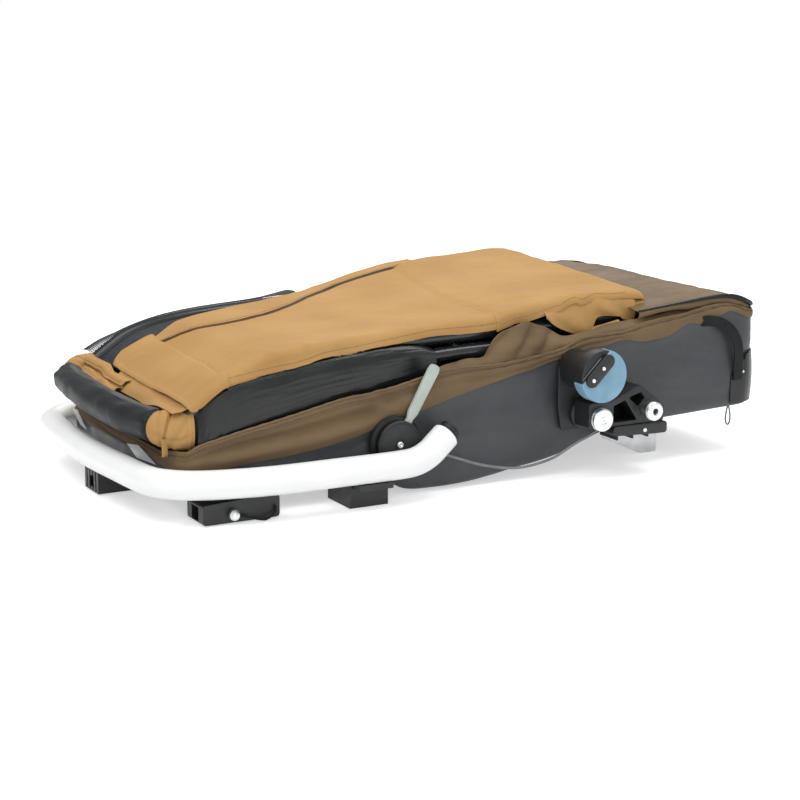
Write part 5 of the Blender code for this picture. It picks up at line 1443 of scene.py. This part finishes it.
# x, y of the canvas's far edge and of the zip
farEdge = [(-0.46, 0.118), (-0.4, 0.128), (-0.35, 0.136), (-0.25, 0.148), (-0.18, 0.158), (-0.1, 0.18),
           (-0.05, 0.202), (0.0, 0.222), (0.06, 0.24), (0.12, 0.25), (0.2, 0.256), (0.33, 0.26),
           (0.38, 0.256)]
zipLine = [(-0.4, 0.098), (-0.374, 0.08), (-0.34, 0.052), (-0.3, 0.036), (-0.25, 0.04), (-0.193, 0.062),
           (-0.137, 0.095), (-0.08, 0.136), (-0.03, 0.162), (0.024, 0.182), (0.1, 0.2), (0.13, 0.204)]
# x, z of the lowest line of the cloth that hangs over the near tube
nearEdge = [(-0.478, 0.1665), (-0.462, 0.168), (-0.446, 0.177), (-0.434, 0.186), (-0.419, 0.196),
            (-0.403, 0.203), (-0.369, 0.209), (-0.324, 0.215), (-0.275, 0.222), (-0.24, 0.23),
            (-0.195, 0.233), (-0.142, 0.238), (-0.088, 0.243), (-0.05, 0.246), (0.036, 0.245),
            (0.083, 0.248), (0.105, 0.254), (0.136, 0.258), (0.159, 0.264), (0.187, 0.27), (0.216, 0.28),
            (0.232, 0.276), (0.26, 0.284), (0.278, 0.281), (0.34, 0.278), (0.375, 0.272)]
# y, x of the seam across the canvas
crossSeam = [(-0.25, 0.07), (-0.155, 0.064), (-0.115, 0.059), (-0.06, 0.061), (0.04, 0.078), (0.157, 0.101),
             (0.24, 0.125)]


flap = {"creaseFar": (-0.379, 0.156), "creaseNear": (-0.409, -0.23), "far": 0.14, "front": -0.461,
        "skew": 0.034, "farCorner": 0.04, "nearCorner": 0.015, "near": -0.233}
# x, height of the flap's top
flapLine = [(-0.36, 0.2235), (-0.385, 0.2185), (-0.4, 0.2125), (-0.42, 0.2025), (-0.44, 0.1915),
            (-0.455, 0.1825), (-0.466, 0.177), (-0.48, 0.1715), (-0.5, 0.166)]


def flapTop(x, y):
    # the flap lies on the layers under it, and rises a little over the near tube
    line = curveAt(flapLine, x)
    tube = frameTop(max(x, -0.455)) + 2.6 * mm - 0.9 * max(0.0, -0.455 - x)
    return line + bulge(y, -0.214, 0.024) * max(0.0, tube - line)


def clothTop(x, y):
    share = (y - cloth["near"]) / cloth["width"]
    base = frameTop(x) + curveAt(pileNear, x) * (1 - share) + curveAt(pileFar, x) * share
    low = flapTop(x, y) - 3.2 * mm
    return base + (low - base) * (1 - ease(x, -0.4, -0.335))


def clothRelief(x, y):
    # slack of the cloth: long soft swells, a sag between the tubes, small creases and pleats at the near edge
    swell = 3.0 * mm * waver(x * 0.8, y, 0.0, 0.12) + 1.3 * mm * waver(x, y * 1.3, 0.5, 0.05)
    sag = -2.5 * mm * (1 - ease(abs(y), 0.02, 0.2)) * (1 - ease(x, -0.05, 0.12))
    crease = 1.5 * mm * (abs(waver(x * 0.5 + y * 0.8, y - x * 0.4, 1.5, 0.035)) - 0.12)
    pleats = 0.0
    for place, depth in ((-0.332, 2.4), (-0.272, 3.6), (-0.2, 1.5), (-0.105, 1.8), (-0.02, 1.6)):
        run = y - cloth["near"]
        pleat = depth * mm * bulge(x - 0.35 * run, place, 0.0055 + 0.08 * run)
        pleats += pleat * (1 - ease(run, 0.0, 0.06))
    return swell + sag + crease + pleats


def edgeDrop(distance, reach, drop):
    t = max(0.0, 1 - distance / reach)
    return -drop * t * t


def hemRaise(distance, width=0.012):
    return 0.9 * mm * (1 - ease(distance, width - 1.5 * mm, width))


def drapedPoint(x, v, far, edgeY, top, lift=0.0, lower=0.0):
    # v from the hem outside the near tube, round the tube and across to far; top(x, y) is the cloth's height
    bottom = curveAt(nearEdge, x) - lower
    hang = max(top(x, edgeY + 0.009) + lift - bottom, 2 * mm)
    bend = min(9 * mm, hang)
    straight, flat = hang - bend, far - edgeY - bend
    run = v * (straight + bend * pi / 2 + flat)
    if run < straight:
        return Vector((x, edgeY, bottom + run)), run
    if run < straight + bend * pi / 2:
        turn = (run - straight) / bend
        return Vector((x, edgeY + bend * (1 - cos(turn)), bottom + straight + bend * sin(turn))), run
    y = edgeY + bend + run - straight - bend * pi / 2
    return Vector((x, y, top(x, y) + lift)), run


def draped(x, v, far, edgeY, top, lift=0.0, lower=0.0, wave=1.0):
    # the same with the cloth's slack, its thicker hem and a slight wave along the edge
    point, run = drapedPoint(x, v, far, edgeY, top, lift, lower)
    over = ease(run, 0.01, 0.03)
    point.z += clothRelief(x, point.y) * over
    ripple = (1.6 * mm * waver(x, 0, 3.3 + lower * 900, 0.05) + 0.9 * mm * waver(x, 0, 7.3, 0.018)) * wave
    point.y -= (abs(ripple) + 0.7 * mm * (1 - ease(run, 0.0075, 0.0095))) * (1 - over)
    point.z += 0.8 * ripple * (1 - ease(run, 0.0, 0.012))
    return point


def upperLayer(u, v):
    # main sheet: u from the flap's crease to under the rear pile, v from the near hem to under the far strip
    x = between(*cloth["upper"], u)
    point = draped(x, v, curveAt(zipLine, x) + 0.01, -0.231, clothTop)
    point.z -= 2.2 * mm * bulge(point.y, curveAt(zipLine, x) - 0.001, 0.0035)
    return point


def lowerLayer(u, v):
    # the layer under it, whose ruffled hem peeks out along the near edge
    x = between(*cloth["lower"], u)
    peek = 4.5 * mm * (1 - ease(x, -0.31, -0.27)) + 2.0 * mm * bulge(x, -0.2, 0.03)
    peek -= 1.0 * mm * ease(x, -0.1, -0.05)
    return draped(x, v, 0.1, -0.229, clothTop, -3.0 * mm, peek, 1.3)


def farStrip(u, v):
    # the strip beyond the zip: it overlaps the main sheet by a few millimetres
    x = between(*cloth["farStrip"], u)
    near, far = curveAt(zipLine, x) + 0.5 * mm, curveAt(farEdge, x) + 2.0 * mm * waver(x, 0, 9.0, 0.05)
    y = between(near, far, v)
    z = clothTop(x, y) + clothRelief(x, y) + 2.7 * mm - 0.8 * mm * bulge(v, 0.0, 0.05)
    z += edgeDrop(far - y, 0.022, 9 * mm) + hemRaise(far - y, 0.01)
    return Vector((x, y, z))


def pileTop(x, y):
    # top of the folded pile behind the cross seam, with a soft ridge before its folded rear
    ridge = 3.0 * mm * bulge(x, 0.325, 0.022) * (0.5 + waver(0, y, 0, 0.07))
    return clothTop(x, y) + 3.4 * mm + ridge


def rearPile(u, v):
    # the folded pile: from the cross seam over the top, round the nose at the rear and back underneath
    near, far = cloth["pile"]
    y = between(near, far, v)
    start = curveAt(crossSeam, y)
    nose = 0.349 + 4 * mm * waver(0, y, 2.0, 0.12)
    radius = 6.5 * mm + 1.5 * mm * v
    over = nose - start
    run = u * (over + pi * radius + 0.09)
    x = start + min(run, over)
    point = draped(x, v, far, -0.2325, pileTop, wave=1.8 * ease(x, 0.05, 0.12))
    point.z -= 3.2 * mm * (1 - ease(run, 0.0, 0.016))
    point.z += edgeDrop(far - point.y, 0.06, 14 * mm)
    if run > over:
        turn = min((run - over) / radius, pi)
        back = max(0.0, run - over - pi * radius)
        squash = min(1.0, (point.z - curveAt(nearEdge, 0.345) + 12 * mm) / (2 * radius))
        point.x = nose + radius * sin(turn) - back
        point.z -= radius * (1 - cos(turn)) * squash + 0.02 * back
    return point


def tuckedFold(u, v):
    # inner layer under the pile's rear near corner: its tip hangs down beside the olive folds
    x = between(*cloth["tuck"], u)
    low = curveAt(tuckLine, x)
    high = curveAt(nearEdge, x) + 7 * mm
    sweep = ease(v, 0.15, 1.0)
    y = -0.23 - (11.5 * mm * sin(pi * min(v * 1.05, 1.0) * 0.62)) * (0.75 + 0.25 * sin(x * 55))
    y += 2.2 * mm * sin(x * 95 - v * 5.0) * sweep
    return Vector((x + 0.006 * v * bulge(x, 0.225, 0.03), y, between(high, low, v)))


def innerFlap(u, v):
    # the same cloth turned back behind the tip: its rounded end shows pale
    turn = -0.35 * pi + 1.25 * pi * v
    x = between(*cloth["inner"], u)
    lift = curveAt([(0.235, 0.226), (0.25, 0.231), (0.27, 0.234), (0.31, 0.241)], x)
    radius = 6.2 * mm * sin(pi * min(0.12 + u, 0.5))
    return Vector((x, -0.2405 - radius * cos(turn) * 0.8, lift + radius * sin(turn)))


def buildCanvas():
    layers = [("canvasUpper", upperLayer, 210, 120, 1.3 * mm, ["roof_frame"]),
              ("canvasLower", lowerLayer, 230, 60, 1.1 * mm, ["roof_frame"]),
              ("canvasFarStrip", farStrip, 200, 48, 1.3 * mm, ["canvasUpper"]),
              ("canvasRearPile", rearPile, 150, 150, 1.4 * mm, ["canvasUpper"]),
              ("canvasTuckedFold", tuckedFold, 120, 26, 1.3 * mm, ["sideHeap_near"]),
              ("canvasInnerFlap", innerFlap, 40, 24, 1.2 * mm, ["sideHeap_near"])]
    for name, surface, columns, rows, thick, restsOn in layers:
        piece = sheetPiece(name, surface, columns, rows, canvas, thick)
        canvasPiece(piece)
        if name == "canvasRearPile":
            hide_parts("roof_cloth")
        declareCloth(piece, surface, restsOn)
    rows = ((upperLayer, 0.026, 60), (rearPile, 0.017, 40), (farStrip, 0.06, 60), (farStrip, 0.9, 60))
    tracks = [trackOn(surface, [(u / 60, v) for u in range(1, last)]) for surface, v, last in rows]
    tracks += [trackOn(tuckedFold, [(u, v / 10) for v in range(1, 10)]) for u in (0.75, 0.85)]
    canvasPiece(stitchPiece("canvasStitching", tracks, brownThread, lift=0.9 * mm))
    seam = trackOn(rearPile, [(0.02, v / 40) for v in range(1, 40)])
    canvasPiece(stitchPiece("canvasSeamStitching", [seam], goldThread, lift=0.7 * mm))
    lines = []
    for number, shift in enumerate((-4.4 * mm, -0.4 * mm)):  # the two edges of the zip
        points = []
        for i in range(121):
            x = -0.395 + (0.108 + 0.395) * i / 120
            y = curveAt(zipLine, x) + shift
            points.append(Vector((x, y, clothTop(x, y) + clothRelief(x, y) + (0.9 + 1.2 * number) * mm)))
        lines.append(sweepPiece("zipEdge", points, 1.5 * mm, brownThread, 10, flatten=0.6))
    canvasPiece(joined("canvasZip", lines))


buildCanvas()


# Front flap: folded forward over the nose, with rounded corners and a stitched border, and the layer under it

def flapFront(y):
    # the front edge in plan: nearly straight, with rounded corners
    f = flap
    x = f["front"] - f["skew"] * (0.09 - y)
    fromFar, fromNear = f["far"] - y, y - f["near"]
    for gap, corner in ((fromFar, f["farCorner"]), (fromNear, f["nearCorner"])):
        if gap < corner:
            x += corner - sqrt(max(corner * corner - (corner - gap) ** 2, 0.0))
    return x


def flapCrease(y):
    (x0, y0), (x1, y1) = flap["creaseNear"], flap["creaseFar"]
    return x0 + (x1 - x0) * (y - y0) / (y1 - y0)


def flapSurface(u, v):
    y = between(flap["near"], flap["far"], v)
    crease, front = flapCrease(y) + 0.004, flapFront(y)
    x = between(crease, front, u)
    point = draped(x, v, flap["far"], flap["near"], flapTop, 1.6 * mm, 1.5 * mm, 0.4)
    edge = min(flap["far"] - point.y, x - front + 0.001)
    point.z += hemRaise(edge, 0.0085) * ease(v, 0.05, 0.08) - 1.6 * mm * (1 - ease(edge, 0.0, 0.004))
    point.z -= 1.4 * mm * bulge(u, 0.03, 0.03) * ease(v, 0.03, 0.08)
    point.z -= 2.6 * mm * (1 - ease(u, 0.0, 0.025))
    point.z += 1.4 * mm * waver(x, point.y * 1.2, 8.0, 0.045) * ease(edge, 0.0, 0.03)
    return point


def underFlapSurface(u, v):
    # comes out from under the flap, then drops down behind the roll
    y = between(-0.226, 0.082, v)
    back = -0.44 - 0.03 * (0.09 - y)
    length, level = 0.06, 0.03 - 0.01 * ease(y, 0.03, 0.11)
    run = u * length
    bottom = 0.1575 + 0.009 * (1 - ease(y, -0.17, -0.1))
    x = back - min(run, level)
    z = curveAt(flapLine, x) - 4.4 * mm + 1.2 * mm * waver(x, y, 1.0, 0.05)
    if run > level:
        share = (run - level) / (length - level)
        x -= (0.015 + 2.0 * mm * waver(0, y, 1.0, 0.05)) * (1 - (1 - share) ** 1.6)
        z += (bottom - z) * ease(share, -0.15, 1.0)
    corner = max(0.0, y - 0.07) * u
    return Vector((x + corner, y - 0.02 * u * ease(y, 0.05, 0.11), z))


def buildFlap():
    under = sheetPiece("flapUnderLayer", underFlapSurface, 60, 160, canvas, 1.3 * mm)
    canvasPiece(under)
    declareCloth(under, underFlapSurface, ["canvasUpper"])
    top = sheetPiece("canvasFlap", flapSurface, 90, 190, canvas, 1.7 * mm)
    canvasPiece(top, "roof_flap")
    declareCloth(top, flapSurface, ["flapUnderLayer"])
    border = [(0.04, 0.985), (0.7, 0.985), (0.86, 0.972), (0.905, 0.94)]
    border += [(0.915, 0.9 - 0.82 * k / 30) for k in range(31)]
    tracks = [trackOn(flapSurface, border), trackOn(flapSurface, [(0.05, v / 20) for v in range(2, 20)]),
              trackOn(underFlapSurface, [(0.74, v / 20) for v in range(1, 19)])]
    canvasPiece(stitchPiece("flapStitching", tracks, brownThread, lift=1.1 * mm))


buildFlap()


# Gold strip and loose folds behind the roll on the far side, which run in under the flap

# x, z across: the strip's top edge, its fold and the folds below
fasciaLines = [(-0.466, 0.182), (-0.474, 0.1805), (-0.483, 0.174), (-0.48, 0.1675), (-0.49, 0.169),
               (-0.499, 0.164), (-0.503, 0.157)]


def frontFascia(u, v):
    y = 0.212 - 0.21 * v
    under = ease(v, 0.48, 0.66)  # where the flap lies over it
    place = u * (len(fasciaLines) - 1)
    i = min(int(place), len(fasciaLines) - 2)
    (x0, z0), (x1, z1) = fasciaLines[i], fasciaLines[i + 1]
    t = ease(place - i, 0.0, 1.0)
    x, z = between(x0, x1, place - i), between(z0, z1, t)
    low = ease(u, 0.5, 0.7)
    x += 0.012 * max(0.0, (y - 0.15) / 0.06) ** 2 * low - 0.004 * under
    z -= 8.0 * mm * under * (1 - 0.6 * u)
    fold = 3.6 * mm * sin(y * 74 + u * 4 + 0.6) + 3.2 * mm * waver(x, y, 0, 0.028)
    fold *= low * sin(pi * min(u, 0.97))
    return Vector((x, y, z + fold + 1.0 * mm * waver(0, y, u, 0.04)))


def buildFascia():
    piece = sheetPiece("frontFascia", frontFascia, 48, 150, canvas, 1.2 * mm)
    canvasPiece(piece)
    declareCloth(piece, frontFascia, ["roof_frame"])
    tracks = [trackOn(frontFascia, [(0.27, v / 20) for v in range(1, 20)])]
    canvasPiece(stitchPiece("frontFasciaStitching", tracks, brownThread, lift=0.9 * mm))


buildFascia()
print("canvas made")


# Front mesh window: knotless net of 1.3 mm cord in 5.5 mm diamonds, and its strip outside the far tube

net = {"front": -0.45, "rear": -0.06, "half": 0.2005, "pitch": 5.5 * mm, "cord": 1.3 * mm,
       "strip": (-0.461, -0.075)}
netEdge = [(-0.461, 0.183), (-0.431, 0.198), (-0.377, 0.214), (-0.284, 0.229), (-0.17, 0.241),
           (-0.083, 0.255)]


def netWindow(u, v):
    x, y = between(net["front"], net["rear"], u), net["half"] * (2 * v - 1)
    return Vector((x, y, frameHeight(x) + 0.002 - 4 * mm * (1 - (y / net["half"]) ** 2)))


def netStrip(u, v):
    # from the top of the far tube outwards and down to its edge
    x = between(*net["strip"], u)
    start, end = frameTop(x) + 1.0 * mm, curveAt(netEdge, x)
    return Vector((x, 0.208 + 0.035 * v, between(start, end, v) + 2 * mm * sin(pi * v)))


def netMesh(name, surface, length, width, *replaced):
    step = net["pitch"] / 2
    columns, rows = int(length / step), int(width / step)
    points, where = [], {}
    for i in range(columns + 1):
        for j in range(rows + 1):
            if (i + j) % 2 == 0:
                where[(i, j)] = len(points)
                points.append(surface(i / columns, j / rows))
    faces = []
    for i in range(1, columns):
        for j in range(1, rows):
            if (i + j) % 2:
                faces.append((where[(i - 1, j)], where[(i, j - 1)], where[(i + 1, j)], where[(i, j + 1)]))
    piece = addPiece(name, points, faces, netCord, smooth=False)
    cords = piece.modifiers.new("cords", "WIREFRAME")
    cords.thickness = net["cord"]
    cords.use_even_offset = False
    settle(piece)
    ridePiece(piece, "upper_frame", "black_mesh", *replaced)


netMesh("meshWindow", netWindow, net["rear"] - net["front"], 2 * net["half"], "front_mesh")
netMesh("meshStrip", netStrip, 0.4, 0.036)
edge = [netStrip(k / 60, 1.0) for k in range(61)]
ridePiece(sweepPiece("meshStripEdge", edge, 1.8 * mm, webbing, 10), "upper_frame", "coated_fabric")


# Rear roof panel: olive cloth over the frame's rear with black piping, and the short wall under the piping

rearPanel = {"front": 0.322, "rear": 0.5665, "corner": 0.048}
# x, z of the panel's top, from its front edge over the bar and down to the rear
panelTop = [(0.318, 0.2625), (0.342, 0.265), (0.372, 0.268), (0.41, 0.2715), (0.45, 0.275), (0.495, 0.2765),
            (0.519, 0.272), (0.54, 0.263), (0.5665, 0.252)]
# x, z of the short wall's lower edge
panelHem = [(0.318, 0.2495), (0.342, 0.253), (0.372, 0.2575), (0.4, 0.259), (0.423, 0.2575), (0.456, 0.26),
            (0.48, 0.262), (0.52, 0.256), (0.5665, 0.24)]


def rearPanelSurface(u, v):
    p = rearPanel
    cutBack = 0.07 * ease(2 * v - 1, 0.68, 0.86)  # the front edge runs back at its far end
    x = p["front"] + (p["rear"] - p["front"]) * sin(u * pi / 2) + cutBack * (1 - u) ** 2
    past = max(0.0, x - (p["rear"] - p["corner"]))
    half = tubHalf(x) - 0.004 - p["corner"] + sqrt(max(0.0, p["corner"] ** 2 - past * past))
    y = half * (2 * v - 1)
    inside = sin(min(1.0, (half - abs(y)) / 0.045) * pi / 2)
    z = curveAt(panelTop, x) - 0.013 * ease(y, 0.08, 0.27) * (1 - ease(x, 0.49, 0.55))
    z -= 2.0 * mm * (1 - inside)
    tubeHeight = frameTop(min(x, 0.5)) + 1.4 * mm  # the cloth lies on the frame's tubes
    z = max(z, tubeHeight - 0.03 * ease(x, 0.43, 0.49) - 0.016 * ease(abs(y), 0.219, 0.24))
    z += 2.6 * mm * waver(x, y, 0, 0.07) * inside + 1.5 * mm * waver(x, y, 5, 0.03) * inside
    return Vector((x, y, z))


def panelRound(steps):
    # (u, v) along the panel's edge: the near side, the rear in that many steps and the far side
    near, far = [(k / 24, 0.0) for k in range(25)], [(1 - k / 24, 1.0) for k in range(25)]
    return near + [(1.0, k / steps) for k in range(1, steps)] + far


def edgeOut(point):
    # away from the panel's edge: sideways at its sides, rearwards as it turns round the rear
    return Vector((max(0.0, point.x - 0.52) * 20, 1.0 if point.y > 0 else -1.0, 0.0)).normalized()


def rearPanelWall(u, v):
    # the short wall from the piping down, round the near side, the rear and the far side
    track = panelRound(30)
    place = u * (len(track) - 1)
    i = min(int(place), len(track) - 2)
    a, b = rearPanelSurface(*track[i]), rearPanelSurface(*track[i + 1])
    top = a.lerp(b, place - i)
    low = curveAt(panelHem, top.x)
    if top.y > 0 or top.x > 0.555:
        low = min(low, curveAt(hemLine, top.x) - 5 * mm)
    fold = 2.2 * mm * waver(top.x, top.y, 0, 0.03) * sin(pi * v) + 2.5 * mm * sin(pi * v)
    out = edgeOut(top) if abs(top.y) > 0.2 else Vector((1.0, 0.0, 0.0))
    return Vector((top.x, top.y, between(top.z, low, v))) + out * (fold - 1.5 * mm * v)


def buildRearPanel():
    panel = sheetPiece("rearRoofPanel", rearPanelSurface, 60, 150, taffeta, 1.4 * mm)
    ridePiece(panel, "upper_frame", "olive_fabric", "rear_top_panel")
    declareCloth(panel, rearPanelSurface, ["roof_frame", "rear_bar"])
    wall = sheetPiece("rearPanelWall", rearPanelWall, 240, 12, taffeta, 1.2 * mm)
    ridePiece(wall, "upper_frame", "olive_fabric")
    declareCloth(wall, rearPanelWall, ["rearRoofPanel"])
    line = []
    for u, v in panelRound(40):
        point = rearPanelSurface(u, v)
        size = ease(point.x, 0.38, 0.5)
        under = 4.5 * ease(point.y, 0.1, 0.25) * ease(point.x, 0.37, 0.4) * (1 - ease(point.x, 0.53, 0.56))
        line.append(point + edgeOut(point) * 3.2 * mm * size
                    + Vector((0, 0, (0.6 + 1.0 * size - under) * mm)))
    piping = sweepPiece("rearPanelPiping", line, 5.4 * mm, rollCloth, 14, flatten=0.8,
                        taper=lambda share: 0.42 + 0.58 * ease(min(share, 1 - share), 0.03, 0.2))
    ridePiece(piping, "upper_frame", "coated_fabric")
    tracks = [trackOn(rearPanelSurface, [(u / 20, v) for u in range(1, 19)]) for v in (0.018, 0.982)]
    tracks.append(trackOn(rearPanelSurface, [(0.955, v / 20) for v in range(1, 20)]))
    ridePiece(stitchPiece("rearPanelStitching", tracks, oliveThread, lift=0.9 * mm), "upper_frame",
              "olive_fabric")


buildRearPanel()


# Side and rear walls: loose olive cloth heaped between the tub's hem and the roof frame

# x, z of the side heap's crest
heapLine = [(-0.065, 0.19), (-0.053, 0.196), (-0.031, 0.203), (0.002, 0.207), (0.034, 0.209),
            (0.043, 0.217), (0.052, 0.231), (0.072, 0.247), (0.095, 0.2535), (0.117, 0.2575), (0.144, 0.25),
            (0.164, 0.238), (0.182, 0.231), (0.205, 0.23), (0.235, 0.237), (0.263, 0.2435), (0.304, 0.2465),
            (0.342, 0.2485), (0.374, 0.2525), (0.4, 0.256), (0.45, 0.2585), (0.51, 0.258)]


heap = {"front": -0.065, "rear": 0.54, "half": 0.2735, "root": 28 * mm}  # root: how far it goes on in the tub


def sideHeap(side):
    def surface(u, v):
        # v from inside the tub, up over the heap's crest and down behind it
        x = between(heap["front"], heap["rear"], u)
        low = curveAt(hemLine, x) - 6 * mm
        high = max(curveAt(heapLine, x), low + 3 * mm)
        outer = tubHalf(x) - 3.5 * mm
        inner = 0.245 + 0.01 * ease(x, 0.17, 0.26)
        rise = high - low
        size = min(1.0, rise / 0.032)
        if v < 0.7:
            share = (v * (rise + heap["root"]) / 0.7 - heap["root"]) / rise  # under 0 inside the tub
            z = low + rise * share
            y = outer - (outer - inner - 4 * mm) * ease(share, 0.35, 1.0)
            y -= min(6 * mm, 0.4 * max(0.0, low - z))
        else:
            share = (v - 0.7) / 0.3
            z = high + 3 * mm * size * sin(pi * min(share * 1.5, 1.0)) - min(rise * 0.5, 0.012) * share
            y = inner + 4 * mm - 7 * mm * share
        phase = x * 128 - z * 118 + 2.2 * waver(x, z, 0, 0.06)
        drape = abs(sin(phase / 2)) - 0.6
        front = 1 - ease(x, 0.2, 0.27)
        arch = sin(pi * min(max(0.0, z - low) / rise * 0.875, 1.0))
        folds = front * (9.0 * mm * drape + 2.6 * mm * waver(x, 0, z * 2, 0.03))
        y += size * arch * (folds + (1 - front) * 3.0 * mm * waver(x * 0.5, 0, z, 0.03))
        z += size * front * 2.2 * mm * sin(x * 120 + 1.0) * v
        return Vector((x, side * y, z))

    return surface


def rearHeap(u, v):
    y = between(-heap["half"], heap["half"], u)
    low, high, corner = 0.2, 0.25, 0.048
    z = between(low, high, v)
    past = max(0.0, abs(y) - 0.232)
    x = tub["rear"] - 5.5 * mm - 3.5 * mm * (1 + sin(y * 70 + 2 * v))
    x = x - 2 * mm * waver(y, z, 0, 0.04) - 5 * mm * v
    x -= corner - sqrt(corner ** 2 - past * past)
    return Vector((x, y, z))


def buildHeaps():
    # each heap is one sheet of olive cloth built in place of its CAD node
    heaps = [("sideHeap_" + name, sideHeap(side), 190, 40, "side_fabric_" + name, (0.2, 0, 0.1961),
              (0.1981, 0, 0.212)) for name, side in sides]
    heaps.append(("rearHeap", rearHeap, 120, 24, "rear_fabric", (0.55, 0, 0.212), (0.548, 0, 0.246)))
    for name, surface, columns, rows, node, low, high in heaps:
        piece = sheetPiece(name, surface, columns, rows, taffeta, 1.2 * mm)
        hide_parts(node)
        declareCloth(piece, surface, ["tub_band"])
        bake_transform(piece)
        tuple(low)
        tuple(high)


buildHeaps()
print("heaped walls made")


# Small trim: the grab strap, the patches at the rear corners, the pin's lanyard and the reflective patches

# x, z of the strap and its distance from the tub's wall
strapLine = [(0.445, 0.2365, 0.002), (0.462, 0.236, 0.005), (0.48, 0.231, 0.009), (0.497, 0.218, 0.013),
             (0.509, 0.198, 0.014), (0.515, 0.175, 0.011), (0.518, 0.153, 0.006), (0.52, 0.13, 0.0035)]
patchTop = [(0.0, 0.142), (0.012, 0.146), (0.024, 0.168), (0.036, 0.176), (0.3, 0.176)]  # way along, z


def webbingSurface(line, width):
    centres = smoothPath([(x, -(tubHalf(x) + out), z) for x, z, out in line], 8)

    def surface(u, v):
        i, here = spotOn(centres, u)
        run = centres[i + 1] - centres[i]
        return here + Vector((-run.z, 0, run.x)).normalized() * width * (v - 0.5)

    return surface


def cornerPatch(side):
    first = 0.506  # x of its front edge
    ring = [Vector((x, y, 0)) for x, y in tubRing if y < -0.215 and x > first]

    def surface(u, v):
        # u from the front edge round the corner, v from the bottom up
        i, here = spotOn(ring, u)
        run = (ring[i + 1] - ring[i]).normalized()
        far = sum((q - p).length for p, q in zip(ring[:i + 1], ring[1:i + 1]))
        low, high = tubLow(here.x) + 6 * mm, curveAt(patchTop, far)
        here += Vector((run.y, -run.x, 0)) * (1.6 * mm + 2.5 * mm * sin(pi * v) * ease(u, 0.05, 0.3))
        return Vector((here.x, -side * here.y, between(low, high, v)))

    return surface


def buildTrim():
    surface = webbingSurface(strapLine, 0.018)
    strap = sheetPiece("grabStrapWebbing", surface, 60, 6, webbing, 2.4 * mm)
    ridePiece(strap, "tub", "webbing", "grab_strap")
    declareCloth(strap, surface, ["tub_shell"])
    for name, side in sides:
        patch = sheetPiece("cornerPatch_" + name, cornerPatch(side), 60, 24, padCloth, 1.2 * mm)
        ridePiece(patch, "tub", "coated_fabric")
        declareCloth(patch, cornerPatch(side), ["tub_shell"])
        steelScrew("cornerRivet_" + name, 0.531, tubHalf(0.531) + 0.0035, 0.143, side, 2.2 * mm)
    for name, corners in (("near", [(-0.024, 0.0785), (-0.074, 0.086), (-0.147, 0.07), (-0.066, 0.064)]),
                          ("far", [(0.232, 0.087), (0.205, 0.089), (0.163, 0.063), (0.192, 0.066)])):
        a, b, c, d = (Vector((-0.4905, y, z)) for y, z in corners)
        film = sheetPiece("reflectivePatch_" + name, lambda u, v: a.lerp(b, u).lerp(d.lerp(c, u), v),
                          12, 12, reflective, 0.8 * mm)
        ridePiece(film, "tub", "reflective", "reflector_" + name)


def buildLanyard():
    # a strap from the pin's head back and up to the receiver
    headY = -0.2843
    steps = [(0.0112, 0.008, -0.002), (0.024, 0.01, -0.006), (0.04, 0.011, -0.011), (0.052, 0.01, -0.0125),
             (0.064, 0.007, -0.008), (0.07, 0.004, -0.002), (0.07, 0.0022, 0.005)]
    path = smoothPath([(-0.424 + back, headY - away, 0.016 + rise) for back, away, rise in steps], 8)
    ridePiece(sweepPiece("pinLanyardCord", path, 1.8 * mm, webbing, 14), "tub", "webbing", "pin_lanyard")


buildLanyard()
buildTrim()
print("small trim made")


# Floor and backdrop

def buildFloor():
    floorHeight = cadBox[0].z - 0.2 * mm
    reach = 14.0
    floor = addPiece("studioFloor", [(-reach, -reach, floorHeight), (reach, -reach, floorHeight),
                                     (reach, reach, floorHeight), (-reach, reach, floorHeight)],
                     [(0, 1, 2, 3)], floorMaterial(), smooth=False)


addCamera()
addLamps()
addWorld()
buildFloor()
bpy.context.scene.view_settings.view_transform = "Standard"
print("scene ready")
